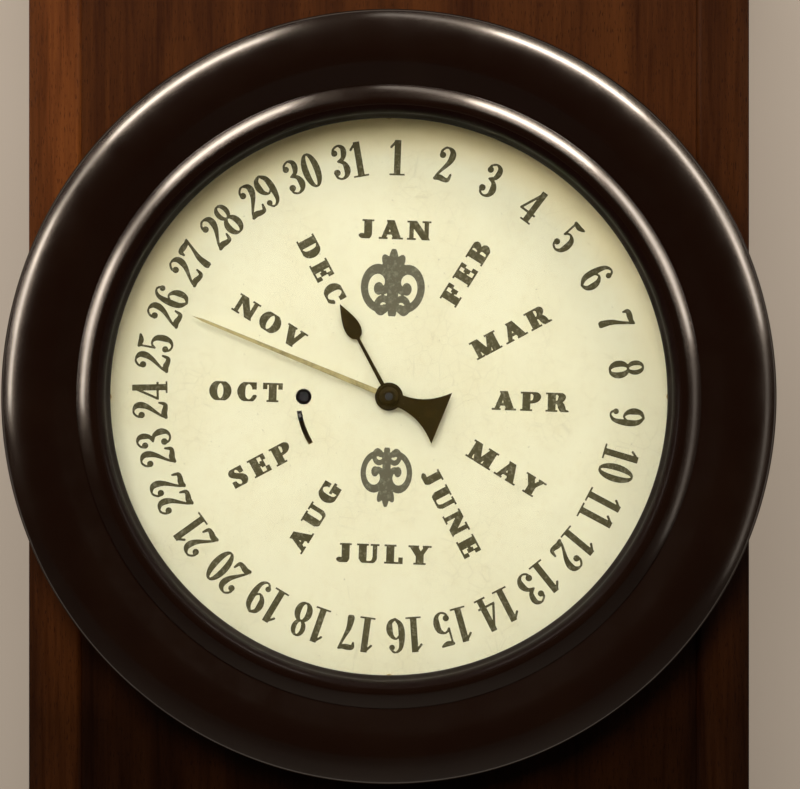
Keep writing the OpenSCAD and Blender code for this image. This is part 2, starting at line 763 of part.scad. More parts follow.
module centre_arbor() color(steel) facing() at(centre_at) union() {
    bar(1.5, back_z, reduction_z + 2.6);
    bar(2.2, back_in + 0.4, front_in - 0.4);
    sheet(great_z - 1, great_z + 3.5)
        rotate(bearing(centre_at, great_at) + 180 / leaves) polygon(pinion_points(leaves, great_m));
    sheet(reduction_z - 0.3, reduction_z + 2.3)
        rotate(bearing(centre_at, reduction_at) + 180 / hour_leaves)
            polygon(pinion_points(hour_leaves, day_m));
}

// Wheel with its hub, crossed out to four arms
module train_wheel(teeth, m, turn, z, thick, bore) difference() {
    union() {
        sheet(z, z + thick) rotate(turn) crossed(wheel_points(teeth, m), m * (teeth / 2 - 4), 5.4, 3.2);
        bar(4, z - 1.2, z + thick + 0.6);
    }
    bar(bore, z - 3, z + thick + 3);
}

module centre_wheel() color(brass) facing() at(centre_at)
    train_wheel(centre_teeth, centre_m, bearing(centre_at, third_at), centre_z, 1.6, 2.2 + fixed_fit);

module third_arbor() color(steel) facing() at(third_at) union() {
    bar(1, back_z, front_out);
    bar(1.5, back_in + 0.4, front_in - 0.4);
    sheet(centre_z - 1.4, front_in - 0.6)
        rotate(bearing(third_at, centre_at) + 180 / leaves) polygon(pinion_points(leaves, centre_m));
}

module third_wheel() color(brass) facing() at(third_at)
    train_wheel(third_teeth, third_m, bearing(third_at, escape_at), third_z, 1.4, 1.5 + fixed_fit);

module escape_arbor() color(steel) facing() at(escape_at) union() {
    bar(0.8, back_z, front_out);
    bar(1.3, back_in + 0.4, front_in - 0.4);
    sheet(third_z - 1.5, third_z + 3.5)
        rotate(bearing(escape_at, third_at) + 180 / leaves) polygon(pinion_points(leaves, third_m));
}

module escape_wheel() color(brass) facing() at(escape_at) difference() {
    union() {
        sheet(escape_z, escape_z + 0.9)
            crossed(ratchet_points(escape_teeth, escape_r - 1.6, escape_r), escape_r - 3.4, 3.6, 1.8);
        bar(2.8, escape_z - 1, escape_z + 1.6);
    }
    bar(1.3 + fixed_fit, escape_z - 2, escape_z + 3);
}

// Anchor, its arbor and the crutch that drives the pendulum
module verge() color(steel) facing() at(verge_at) union() {
    bar(1.5, crutch_z, front_out);
    sheet(escape_z - 0.6, escape_z + 1.5) polygon([[-9.4, -7.2], [-8.6, -3], [-4, 2.6], [4, 2.6], [8.6, -3],
        [9.4, -7.2], [7.9, -6.6], [6.2, -3.2], [2.6, -1.8], [-2.6, -1.8], [-6.2, -3.2], [-7.9, -6.6]]);
    block([-2.2, 2.2], [-crutch - 2, 2.2], [crutch_z + 0.2, crutch_z + 1.4]);
    for (s = [-1, 1])
        block([s * 2.3 - 0.5, s * 2.3 + 0.5], [-crutch - 2, -crutch + 2], [pendulum_z - 3, crutch_z + 1.2]);
    block([-2.8, 2.8], [-crutch - 2, -crutch + 2], [crutch_z + 0.2, crutch_z + 1.4]);
}

module suspension_post() color(brass) facing() at(verge_at) difference() {
    block([-5, 5], [5, 14], [pendulum_z - 5, back_z]);
    block([-1.2, 1.2], [4, 11], [pendulum_z - 6, pendulum_z + 5]);
}

module suspension_spring() color(steel) facing() at(verge_at)
    block([-0.15, 0.15], [-14, 10], [pendulum_z - 3, pendulum_z + 3]);

module pendulum_rod() color(brass) facing() at(verge_at) translate([0, 0, pendulum_z]) union() {
    rotate([90, 0, 0]) translate([0, 0, 14]) cylinder(r = 1.4, h = pendulum_length + bob_radius - 8);
    rotate([90, 0, 0]) translate([0, 0, pendulum_length + bob_radius + 0.2]) cylinder(r = 4.5, h = 3);
}

module pendulum_bob() color(brass) facing() at(verge_at - [0, pendulum_length]) translate([0, 0, pendulum_z])
    difference() {
        rotate_extrude() intersection() {
            translate([0, -bob_radius * bob_radius / bob_thick + bob_thick / 4])
                circle(bob_radius * bob_radius / bob_thick + bob_thick / 4);
            translate([0, bob_radius * bob_radius / bob_thick - bob_thick / 4])
                circle(bob_radius * bob_radius / bob_thick + bob_thick / 4);
            translate([0, -bob_thick]) square([bob_radius - 0.6, 2 * bob_thick]);
        }
        rotate([90, 0, 0]) translate([0, 0, -bob_radius - 2])
            cylinder(r = 1.4 + fixed_fit, h = 2 * bob_radius + 4);
    }

backboard();
left_side();
right_side();
top_board();
bottom_board();
upper_panel();
lower_panel();
left_cheek();
right_cheek();
left_stile();
right_stile();
hanger_plate();
hanger_screws();
hinge_case_leaf();
hinge_pin();
hook_screw();
dial_plate();
dial_screws();
movement_posts();
back_plate();
front_plate();
plate_pillars();
pillar_nuts();
suspension_post();
click();
calendar_plate();
calendar_pillars();
wheel_studs();
date_jumper();
round_frame();
glass();
glass_bead();
hinge_door_leaf();
hook_eye();
door_hook();
date_arbor();
date_wheel();
date_hand();
hand_nut();
month_wheel();
month_hand();
month_idler();
date_lever();
date_pawl();
great_wheel();
mainspring();
winding_arbor();
ratchet_wheel();
centre_arbor();
centre_wheel();
third_arbor();
third_wheel();
escape_arbor();
escape_wheel();
reduction_wheel();
day_wheel();
verge();
suspension_spring();
pendulum_rod();
pendulum_bob();
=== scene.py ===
"""Dresses the packed calendar wall clock: case boards, turned door ring, glass, painted and printed
dial, hands, movement metals and small fittings, with a plain stage and a camera."""

import json
import math

import bmesh
import bpy
import numpy as np
from bpy.props import FloatProperty, FloatVectorProperty, IntProperty, PointerProperty
from bpy.types import Operator, Panel, PropertyGroup
from mathutils import Matrix, Vector
from mathutils.geometry import tessellate_polygon

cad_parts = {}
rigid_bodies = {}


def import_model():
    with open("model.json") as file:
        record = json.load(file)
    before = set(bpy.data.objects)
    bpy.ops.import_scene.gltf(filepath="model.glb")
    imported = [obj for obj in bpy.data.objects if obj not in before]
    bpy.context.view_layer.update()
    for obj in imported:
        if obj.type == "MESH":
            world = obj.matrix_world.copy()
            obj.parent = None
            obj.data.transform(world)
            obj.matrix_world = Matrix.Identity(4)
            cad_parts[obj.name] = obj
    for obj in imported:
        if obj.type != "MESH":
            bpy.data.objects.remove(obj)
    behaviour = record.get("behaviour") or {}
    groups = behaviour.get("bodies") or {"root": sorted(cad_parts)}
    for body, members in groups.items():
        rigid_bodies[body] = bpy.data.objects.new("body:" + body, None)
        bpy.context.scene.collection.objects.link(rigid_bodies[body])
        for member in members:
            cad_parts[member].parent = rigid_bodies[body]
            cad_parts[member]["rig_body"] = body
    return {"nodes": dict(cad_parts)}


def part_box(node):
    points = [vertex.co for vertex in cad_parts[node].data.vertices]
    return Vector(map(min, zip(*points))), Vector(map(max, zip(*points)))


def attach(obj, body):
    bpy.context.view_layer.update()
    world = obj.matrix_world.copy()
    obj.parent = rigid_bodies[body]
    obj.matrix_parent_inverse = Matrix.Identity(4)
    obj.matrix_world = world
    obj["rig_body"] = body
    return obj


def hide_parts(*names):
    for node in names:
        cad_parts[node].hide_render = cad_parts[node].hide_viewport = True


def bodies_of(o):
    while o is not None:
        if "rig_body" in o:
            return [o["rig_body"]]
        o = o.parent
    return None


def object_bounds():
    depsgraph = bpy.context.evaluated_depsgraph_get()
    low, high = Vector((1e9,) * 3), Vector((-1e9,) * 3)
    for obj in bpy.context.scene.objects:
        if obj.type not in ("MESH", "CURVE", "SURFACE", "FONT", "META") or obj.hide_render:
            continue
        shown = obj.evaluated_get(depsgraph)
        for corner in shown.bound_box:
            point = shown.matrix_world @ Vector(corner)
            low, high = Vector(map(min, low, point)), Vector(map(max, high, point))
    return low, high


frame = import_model()
CAD_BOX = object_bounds()

bl_info = {
    "name": "Calendar wall clock finish",
    "version": (1, 0, 0),
    "blender": (4, 5, 0),
    "location": "View3D > Sidebar > Clock",
    "description": "Boards, ring, glass, dial print, hands and fittings of a calendar wall clock",
    "category": "Object",
}

RING_LOW, RING_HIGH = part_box("round_frame")
RING_RADIUS = RING_HIGH.x
RING_BACK = -RING_HIGH.y
RING_CREST = -RING_LOW.y
DIAL_FACE = -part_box("dial_plate")[0].y
DATES = 31
MONTHS = ("JAN", "FEB", "MAR", "APR", "MAY", "JUNE", "JULY", "AUG", "SEP", "OCT", "NOV", "DEC")

# Boards of the case: how much of the wood's colour each shows at its head, at its foot and along
# its outer edge. These are painted light and shade: darker towards the foot and the outer edges, and the
# left stile lighter than the right one, as the light falls from the left. The grain runs along the boards,
# and its pattern is drawn out that way.
SIDE_PAINTED_SHADE, PANEL_PAINTED_SHADE = (0.7, 0.35, 1.0), (0.68, 0.12, 1.0)
BOARDS = {"left_side": SIDE_PAINTED_SHADE, "right_side": SIDE_PAINTED_SHADE,
          "left_stile": (1.48, 0.33, 0.66), "right_stile": (0.56, 0.19, 0.8),
          "upper_panel": PANEL_PAINTED_SHADE, "lower_panel": PANEL_PAINTED_SHADE, "left_cheek": PANEL_PAINTED_SHADE, "right_cheek": PANEL_PAINTED_SHADE,
          "top_board": (0.7, 0.7, 1.0), "bottom_board": (0.55, 0.45, 1.0)}
CROSS_BOARDS = ("top_board", "bottom_board")
GRAIN_STRETCH = 0.05

# Rounding of the edges that no setting holds.
BACK_EDGE, GLASS_EDGE, DIAL_EDGE, BRASS_EDGE = 0.0004, 0.0005, 0.0002, 0.00025

# Metals of the works, and the fittings on the outside that are cut from sheet or bent from wire.
WORKS = {
    "aged_brass": ("movement_posts", "back_plate", "front_plate", "plate_pillars", "suspension_post",
                   "calendar_plate", "calendar_pillars", "dial_screws", "date_wheel", "month_wheel",
                   "month_idler", "great_wheel", "centre_wheel", "third_wheel", "escape_wheel",
                   "reduction_wheel", "day_wheel", "pendulum_rod", "pendulum_bob"),
    "worn_steel": ("hanger_screws", "hook_screw", "pillar_nuts", "click", "wheel_studs", "date_jumper",
                   "date_lever", "date_pawl", "ratchet_wheel", "centre_arbor", "third_arbor",
                   "escape_arbor", "verge", "suspension_spring"),
    "blued_steel": ("date_arbor", "mainspring", "winding_arbor"),
}
SHEET_BRASS = ("hanger_plate", "hinge_case_leaf", "hinge_door_leaf")
WIRE_BRASS = ("hinge_pin", "hook_eye", "door_hook")

# Slim lamps round the clock that only gleam in polish: name, place in degrees clockwise from twelve,
# width and power.
STRIPS = (("strip_upper_right", 29, 0.63, 6.4), ("strip_right", 62, 0.83, 3.2),
          ("strip_upper_left", -33, 0.68, 4.4), ("strip_left", -77, 0.73, 3.0),
          ("gleam_right", 33, 1.9, 2.0), ("gleam_left", -48, 1.72, 3.2), ("gleam_low", 90, 1.4, 0.6))


def colour(name, description, default):
    """Setting of a colour."""
    return FloatVectorProperty(name=name, description=description, subtype="COLOR", size=3, min=0, max=1,
                               default=default)


def length(name, description, default):
    """Setting of a length in metres."""
    return FloatProperty(name=name, description=description, unit="LENGTH", default=default)


class ClockCaseSettings(PropertyGroup):
    """Finish of the case's boards."""
    light_wood: colour("Light wood", "Mahogany between its darker stripes", (0.204, 0.0570, 0.0106))
    dark_wood: colour("Dark wood", "Mahogany's darker stripes and pores", (0.0640, 0.0148, 0.0028))
    back_wood: colour("Back wood", "Plain softwood of the backboard", (0.40, 0.25, 0.12))
    edge: length("Edge rounding", "Rounding of the boards' edges", 0.0008)


class ClockDoorSettings(PropertyGroup):
    """Shape and finish of the round door."""
    crest_round: length("Crest curve", "Radius of the broad curve outside the crest", 0.034)
    rim_round: length("Rim curve", "Radius of the flatter curve of the outer rim", 0.044)
    edge_round: length("Edge curve", "Radius of the quick curve at the outer edge", 0.003)
    dip_round: length("Dip curve", "Radius of the curve inside the crest", 0.027)
    ring_width: length("Ring width", "From the outer edge to the opening", 0.056)
    bead_inset: length("Bead inset", "From the opening to the top of the bead", 0.0080)
    bead_drop: length("Bead drop", "From the crest down to the top of the bead", 0.0012)
    bead_round: length("Bead", "Radius of the bead on the side of the opening", 0.0062)
    bead_flank: length("Bead flank", "Radius of the flatter flank outside the bead", 0.050)
    steps: IntProperty(name="Steps", description="Steps round the turned ring", default=288, min=48)
    black: colour("Black", "Ebonised wood", (0.0088, 0.0013, 0.0002))
    worn: colour("Worn", "Brown that shows where the black has worn", (0.016, 0.0052, 0.0022))
    glass: colour("Glass", "Tint of the glass", (0.96, 0.98, 0.96))


class ClockDialSettings(PropertyGroup):
    """Paint and print of the dial."""
    paint: colour("Paint", "Cream dial paint", (0.845, 0.805, 0.582))
    age: colour("Age", "Yellow-brown of the aged paint", (0.665, 0.563, 0.307))
    # Border: a yellower, darker tone along the dial's upper edge.
    border: colour("Border", "Yellowed paint at the dial's upper edge", (0.83, 0.685, 0.36))
    ink: colour("Ink", "Printing ink of the figures", (0.070, 0.059, 0.0205))
    ornament: colour("Ornament", "Greyer ink of the two ornaments", (0.118, 0.108, 0.066))
    date_middle: length("Date radius", "Radius of the middle of the date figures", 0.126)
    date_height: length("Date height", "Height of the date figures", 0.0185)
    month_outer: length("Month radius", "Radius at which the month names end", 0.0942)
    month_height: length("Month height", "Height of the month names", 0.0100)
    turn: FloatProperty(name="Turn", description="Turn of the print on the dial", subtype="ANGLE",
                        default=math.radians(2))
    ink_lift: length("Ink lift", "Height of the ink over the paint", 0.00008)


class ClockMetalSettings(PropertyGroup):
    """Finish of the hands and fittings."""
    black: colour("Black hands", "Black lacquer of the hands", (0.0225, 0.0140, 0.0010))
    needle: colour("Needle", "Dull gilt of the date needle", (0.44, 0.36, 0.155))
    brass: colour("Brass", "Bright brass", (0.66, 0.45, 0.17))
    tarnish: colour("Tarnish", "Brass gone dull", (0.33, 0.21, 0.085))
    steel: colour("Steel", "Polished steel", (0.48, 0.47, 0.46))
    blued: colour("Blued steel", "Blued spring steel", (0.035, 0.042, 0.075))
    edge: length("Edge rounding", "Rounding of the sheet metal's edges", 0.00018)


class ClockStageSettings(PropertyGroup):
    """Camera, lamps and surroundings."""
    distance: length("Distance", "From the camera to the door's opening", 2.2)
    view_width: length("View width", "Width of the picture at the opening", 0.4187)
    view_across: length("View across", "Middle of the picture to the right of the dial", 0.0058)
    view_up: length("View up", "Middle of the picture above the dial", 0.0011)
    lamp: FloatProperty(name="Main lamp", description="Power of the broad upper lamp", unit="POWER",
                        default=22.0)
    strip_lean: FloatProperty(name="Strip lean", default=58,
                              description="Lean of the slim lamps off the dial's axis, in degrees")
    room: FloatProperty(name="Room", description="Level of the even light", min=0, default=0.08)
    front: FloatProperty(name="Front", description="Level of the dark part in front that gloss sees", min=0,
                         default=0.038)
    wall: colour("Wall", "Pale wall behind the clock", (0.75, 0.65, 0.545))
    wall_tone: colour("Wall tone", "Even tone of the wall in the room's light", (0.425, 0.345, 0.267))
    floor: colour("Floor", "Pale floor", (0.40, 0.38, 0.35))
    backdrop: colour("Backdrop", "Pale room round the clock", (0.66, 0.63, 0.59))


def dial_point(x, y, depth):
    """Point to the right of and above the dial's middle, at a depth out from the wall, in metres."""
    return Vector((x, -depth, y))


class Nodes:
    """Nodes of a material or a world in the making."""

    def __init__(self, owner):
        owner.use_nodes = True
        self.tree = owner.node_tree

    def feed(self, socket, value):
        """Gives an input another node's output, a colour or a number."""
        if isinstance(value, bpy.types.NodeSocket):
            self.tree.links.new(value, socket)
        else:
            socket.default_value = (*value, 1) if socket.type == "RGBA" else value

    def add(self, kind, inputs=None, **settings):
        """New node with its settings and inputs."""
        node = self.tree.nodes.new("ShaderNode" + kind)
        for key, value in settings.items():
            setattr(node, key, value)
        for socket, value in (inputs or {}).items():
            self.feed(node.inputs[socket], value)
        return node

    def show(self, output, shader):
        """Links a shader to the output node of that name."""
        self.feed(self.tree.nodes[output].inputs["Surface"], shader)

    def math(self, operation, a, b):
        return self.add("Math", {0: a, 1: b}, operation=operation).outputs[0]

    def plus(self, a, b, part):
        """A value and a part of another one."""
        return self.math("ADD", a, self.math("MULTIPLY", b, part))

    def ranged(self, value, low, high, to_low, to_high):
        return self.add("MapRange", {"Value": value, "From Min": low, "From Max": high, "To Min": to_low,
                                     "To Max": to_high}).outputs["Result"]

    def blend(self, factor, a, b):
        """One shader over another."""
        return self.add("MixShader", {0: factor, 1: a, 2: b}).outputs[0]


class Finish(Nodes):
    """One material in the making: its nodes and its shader."""

    def __init__(self, name, fixed):
        self.material = bpy.data.materials.new(name)
        super().__init__(self.material)
        self.shader = self.tree.nodes["Principled BSDF"]
        for socket, value in fixed.items():
            self.set(socket, value)
        self.place = self.add("TexCoord").outputs["Object"]

    def set(self, socket, value):
        self.feed(self.shader.inputs[socket], value)

    def along(self):
        """X, Y and Z of the place."""
        return self.add("SeparateXYZ", {0: self.place}).outputs

    def stretched(self, scale):
        return self.add("Mapping", {"Vector": self.place, "Scale": scale}).outputs["Vector"]

    def noise(self, vector, scale, detail=2.0, rough=0.5, bend=0.0):
        return self.add("TexNoise", {"Vector": vector, "Scale": scale, "Detail": detail, "Roughness": rough,
                                     "Distortion": bend}).outputs["Fac"]

    def lines(self, value, scale, detail, rough=0.5):
        """Noise along one value only."""
        return self.add("TexNoise", {"W": value, "Scale": scale, "Detail": detail, "Roughness": rough},
                        noise_dimensions="1D").outputs["Fac"]

    def mix(self, factor, a, b, blend="MIX"):
        return self.add("Mix", {0: factor, 6: a, 7: b}, data_type="RGBA", blend_type=blend).outputs[2]

    def roughness(self, noise, low, high):
        """Roughness that follows the main part of a noise."""
        self.set("Roughness", self.ranged(noise, 0.3, 0.7, low, high))

    def bump(self, height, strength, distance):
        self.set("Normal", self.add("Bump", {"Height": height, "Strength": strength,
                                             "Distance": distance}).outputs["Normal"])

    def radius(self):
        """Distance from the dial's axis."""
        flat = self.add("VectorMath", {0: self.place, 1: (1, 0, 1)}, operation="MULTIPLY").outputs[0]
        return self.add("VectorMath", {0: flat}, operation="LENGTH").outputs["Value"]


def darker(tone, part):
    """A part of a colour."""
    return tuple(part * c for c in tone)


def mahogany(name, s, grain, head, foot, edge):
    """Old varnished mahogany with painted shade, darker towards the foot of the case and along its outer
    edges; grain gives the scale along X, Y, Z, and head, foot and edge how much of its colour the board
    shows there."""
    f = Finish(name, {"Specular IOR Level": 0.10})
    along = f.stretched(grain)
    stripes = f.noise(along, 30, 4, 0.55, 0.7)
    fibres = f.noise(along, 430, 3, 0.6)
    pores = f.noise(f.stretched(tuple(1 if g == 1 else 3 * g for g in grain)), 1500, 1)
    figure = f.plus(f.math("MULTIPLY", stripes, 0.7), fibres, 0.3)
    wood = f.mix(f.ranged(figure, 0.36, 0.62, 0, 1), s.dark_wood, s.light_wood)
    pits = f.ranged(pores, 0.60, 0.68, 0, 0.75)
    wood = f.mix(pits, wood, s.dark_wood)
    place = f.along()
    # Painted shade: darker towards the foot of the case, with a slight mottle.
    shade = f.ranged(f.plus(place["Z"], f.noise(f.place, 14), 0.08), -0.13, 0.17, foot, head)
    # Painted shade along the outer edges of the board.
    shade = f.math("MULTIPLY", shade, f.ranged(f.math("ABSOLUTE", place["X"], 0), 0.179, 0.188, 1, edge))
    grey = f.add("CombineColor", {0: shade, 1: shade, 2: shade}).outputs[0]
    f.set("Base Color", f.mix(1.0, wood, grey, "MULTIPLY"))
    f.roughness(fibres, 0.36, 0.50)
    f.bump(f.math("SUBTRACT", f.math("MULTIPLY", fibres, 0.4), pits), 0.22, 0.0003)
    return f.material


def softwood(name, s):
    """Plain planed softwood: uneven year rings, fine fibres and some dirt."""
    f = Finish(name, {"Specular IOR Level": 0.25})
    along = f.stretched((1, 1, 0.035))
    drift = f.noise(along, 7, 2, 0.5, 0.3)
    rings = f.lines(f.math("MULTIPLY", drift, 34), 1.0, 3, 0.62)
    fibres = f.noise(along, 650, 3, 0.6)
    brown = darker(s.back_wood, 0.5)
    wood = f.mix(f.ranged(rings, 0.40, 0.66, 0, 0.6), s.back_wood, brown)
    wood = f.mix(f.ranged(fibres, 0.45, 0.75, 0, 0.45), wood, brown)
    dirt = f.ranged(f.noise(f.place, 7, 5, 0.6), 0.42, 0.78, 0, 0.5)
    f.set("Base Color", f.mix(dirt, wood, (0.11, 0.07, 0.04)))
    f.roughness(fibres, 0.62, 0.85)
    f.bump(f.plus(fibres, rings, 0.5), 0.25, 0.0003)
    return f.material


def ebonised(name, s, gloss, rough):
    """Black-stained and polished wood, with faint turning lines and brown where it is rubbed."""
    f = Finish(name, {"Specular IOR Level": gloss, "Specular Tint": (1.0, 0.88, 0.74),
                      "Coat Weight": 0.7 * gloss, "Coat Roughness": 0.12})
    blotch = f.noise(f.place, 18, 3, 0.55)
    fine = f.noise(f.place, 420, 3, 0.6)
    rubbed = f.ranged(f.plus(blotch, fine, 0.12), 0.58, 0.86, 0, 0.6)
    f.set("Base Color", f.mix(rubbed, s.black, s.worn))
    f.roughness(f.noise(f.place, 60, 3, 0.6), rough, rough + 0.06)
    lines = f.lines(f.radius(), 1500, 2)
    f.bump(f.plus(f.math("MULTIPLY", lines, 0.6), fine, 0.4), 0.02, 0.0001)
    return f.material


def dial_paint(name, s):
    """Cream paint, mottled, with fine crazing, a few brown specks and a border that is yellower and
    darker towards the top."""
    f = Finish(name, {"Specular IOR Level": 0.35})
    cloud = f.noise(f.place, 26, 4, 0.6)
    grain = f.noise(f.place, 240, 3, 0.6)
    paint = f.mix(f.ranged(cloud, 0.4, 0.75, 0, 0.22), s.paint, s.age)
    paint = f.mix(f.ranged(grain, 0.5, 0.8, 0, 0.18), paint, s.age)
    specks = f.ranged(f.noise(f.place, 700, 1), 0.74, 0.80, 0, 0.5)
    paint = f.mix(specks, paint, darker(s.age, 0.35))
    cracks = f.add("TexVoronoi", {"Vector": f.place, "Scale": 150},
                   feature="DISTANCE_TO_EDGE").outputs["Distance"]
    crazing = f.math("MULTIPLY", f.ranged(cracks, 0, 0.035, 1, 0), f.ranged(cloud, 0.45, 0.6, 0, 0.14))
    paint = f.mix(crazing, paint, darker(s.age, 0.4))
    # Border: yellower and darker along the upper edge of the dial.
    border = f.ranged(f.plus(f.radius(), cloud, 0.006), 0.128, 0.146, 0, 1)
    border = f.math("MULTIPLY", border, f.ranged(f.along()["Z"], -0.03, 0.14, 0, 1))
    f.set("Base Color", f.mix(border, paint, s.border))
    f.roughness(grain, 0.45, 0.6)
    f.bump(f.math("SUBTRACT", f.math("MULTIPLY", grain, 0.5), crazing), 0.12, 0.0002)
    return f.material


def printing_ink(name, ink, paint):
    """Ink with worn, paler spots."""
    f = Finish(name, {"Specular IOR Level": 0.3})
    wear = f.noise(f.place, 520, 3, 0.65)
    f.set("Base Color", f.mix(f.ranged(wear, 0.52, 0.72, 0, 0.35), ink, darker(paint, 0.5)))
    f.roughness(wear, 0.5, 0.7)
    return f.material


def metal(name, bright, dull, rough):
    """Metal that has dulled unevenly, with fine scratches."""
    f = Finish(name, {"Metallic": 1.0})
    cloud = f.noise(f.place, 45, 6, 0.7)
    grain = f.noise(f.place, 900, 3, 0.6)
    scratch = f.noise(f.stretched((1, 1, 0.1)), 2600, 2, 0.6)
    age = f.plus(cloud, f.math("ADD", grain, scratch), 0.22)
    f.set("Base Color", f.mix(f.ranged(age, 0.50, 1.05, 0.1, 1), bright, dull))
    f.set("Roughness", f.ranged(age, 0.50, 1.0, rough, rough + 0.22))
    f.bump(scratch, 0.08, 0.0001)
    return f.material


def lacquer(name, black):
    """Black lacquer on thin steel, brownish where it has thinned."""
    f = Finish(name, {"Specular IOR Level": 0.14, "Specular Tint": (1.0, 0.86, 0.62)})
    cloud = f.noise(f.place, 160, 3, 0.6)
    f.set("Base Color", f.mix(f.ranged(cloud, 0.5, 0.75, 0, 1), black, (0.036, 0.023, 0.003)))
    f.roughness(cloud, 0.32, 0.5)
    f.bump(cloud, 0.05, 0.0001)
    return f.material


def dull_gilt(name, tone):
    """Thin old gilding, more paint than metal."""
    f = Finish(name, {"Metallic": 0.25})
    cloud = f.noise(f.place, 200, 3, 0.6)
    f.set("Base Color", f.mix(f.ranged(cloud, 0.45, 0.7, 0, 1), tone, darker(tone, 0.6)))
    f.roughness(cloud, 0.4, 0.6)
    f.bump(cloud, 0.05, 0.0001)
    return f.material


def window_glass(name, s):
    """Old clear glass, very slightly uneven."""
    f = Finish(name, {"Base Color": s.glass, "Transmission Weight": 1.0, "IOR": 1.46})
    f.set("Roughness", f.ranged(f.noise(f.place, 30, 3), 0.4, 0.8, 0.0, 0.03))
    return f.material


def shared(name, make, *parts):
    """Material of that name, made from its parts the first time that it is asked for."""
    return bpy.data.materials.get(name) or make(name, *parts)


def clock_metal(name):
    """One of the clock's bare metals."""
    s = bpy.context.scene.clock_metal
    bright, dull, rough = {"aged_brass": (s.brass, s.tarnish, 0.24),
                           "worn_steel": (s.steel, darker(s.steel, 0.5), 0.26),
                           "blued_steel": (s.blued, darker(s.blued, 0.6), 0.3)}[name]
    return shared(name, metal, bright, dull, rough)


def new_piece(name, mesh, body, materials, stands_for=()):
    """Object of a mesh that rides on a body, with its materials and the nodes it stands for."""
    piece = bpy.data.objects.new(name, mesh)
    bpy.context.scene.collection.objects.link(piece)
    for material in materials:
        mesh.materials.append(material)
    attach(piece, body)
    if stands_for:
        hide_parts(*stands_for)
    return piece


def to_mesh(work, name, sharp=35, rounding=0.0):
    """Mesh of a bmesh, smooth but for its sharp edges; with a rounding, the flat faces beside it stay
    flat."""
    bmesh.ops.recalc_face_normals(work, faces=work.faces)
    slim = {face for face in work.faces if face.calc_area() < 1.5 * rounding * face.calc_perimeter()}
    for face in work.faces:
        face.smooth = True
    for edge in work.edges:
        edge.smooth = (len(edge.link_faces) == 2 and edge.calc_face_angle() < math.radians(sharp)
                       and (not rounding or len(slim.intersection(edge.link_faces)) != 1))
    mesh = bpy.data.meshes.new(name)
    work.to_mesh(mesh)
    work.free()
    return mesh


def softened(node, width, steps, flat=math.radians(0.4), corner=math.radians(28)):
    """Copy of a CAD node in a bmesh, with flat facets joined and its corners rounded."""
    work = bmesh.new()
    work.from_mesh(frame["nodes"][node].data)
    bmesh.ops.remove_doubles(work, verts=work.verts, dist=1e-6)
    bmesh.ops.dissolve_limit(work, angle_limit=flat, verts=work.verts, edges=work.edges, delimit={"NORMAL"})
    corners = [e for e in work.edges if len(e.link_faces) == 2 and e.calc_face_angle() > corner]
    bmesh.ops.bevel(work, geom=corners, offset=width, offset_type="OFFSET", segments=steps, profile=0.5,
                    affect="EDGES", clamp_overlap=True)
    return work


def body_of(node):
    """Body that carries a CAD node."""
    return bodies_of(frame["nodes"][node])[0]


def finished(node, width, steps, material, sharp=35, name=None):
    """Piece that stands for a CAD node, with its corners rounded and a finish."""
    mesh = to_mesh(softened(node, width, steps), node + "_finished", sharp, width)
    return new_piece(name or node + "_finished", mesh, body_of(node), [material], [node])


def paint_node(node, material):
    """Gives a shown CAD node its material."""
    shown = frame["nodes"][node]
    shown.data.materials.clear()
    shown.data.materials.append(material)


def turned(work, outline, steps):
    """Turns a closed outline of radius and depth about the dial's axis."""
    rings = [[work.verts.new(dial_point(r * math.sin(a), r * math.cos(a), depth)) for r, depth in outline]
             for a in (2 * math.pi * i / steps for i in range(steps))]
    count = len(outline)
    for i in range(steps):
        here, there = rings[i], rings[(i + 1) % steps]
        for j in range(count):
            k = (j + 1) % count
            work.faces.new((here[j], here[k], there[k], there[j]))


def swept(start, pieces):
    """Points along joined arcs; each is its first and last lean off straight out, its radius and its
    steps."""
    points = [start]
    for first, last, radius, steps in pieces:
        base = points[-1]
        points += [(base[0] + radius * (math.sin(a) - math.sin(math.radians(first))),
                    base[1] + radius * (math.cos(a) - math.cos(math.radians(first))))
                   for a in (math.radians(first + (last - first) * i / steps) for i in range(1, steps + 1))]
    return points


# Turned ring. Leans are in degrees off straight out, where one curve goes over into the next. The points
# of the back corner are in from the outer edge and out from the back, and those of the throat below the
# bead are out from the opening and from the back. The outer wall is set in a little and ends below the
# edge's curve. The polish ends on the bead, in from its top, and short of the outer edge, which is matt.
# The camera looks at the opening where it is narrowest, at the sight's depth out from the back.
CREST_LEAN, RIM_LEAN, EDGE_LEAN = 20, 30, 118
BEAD_LEANS, BEAD_TOP, BEAD_FOOT = (21.5, 29, 75), 0.005, 0.003
BEAD_TURN = -114
BACK_CORNER = ((0.0022, 0), (0.0009, 0.0005), (0.0005, 0.0018))
THROAT = ((0.0024, 0.0196), (0.0011, 0.0172), (0.0003, 0.0156), (0, 0.0142))
RABBET_WIDTH, RABBET_DEPTH, RABBET_CORNER = 0.005, 0.012, 0.0004
WALL_INSET, WALL_GAP = 0.0005, 0.001
POLISH_INSET, MATT_EDGE = 0.0022, 0.0006
SIGHT_DEPTH = 0.0154


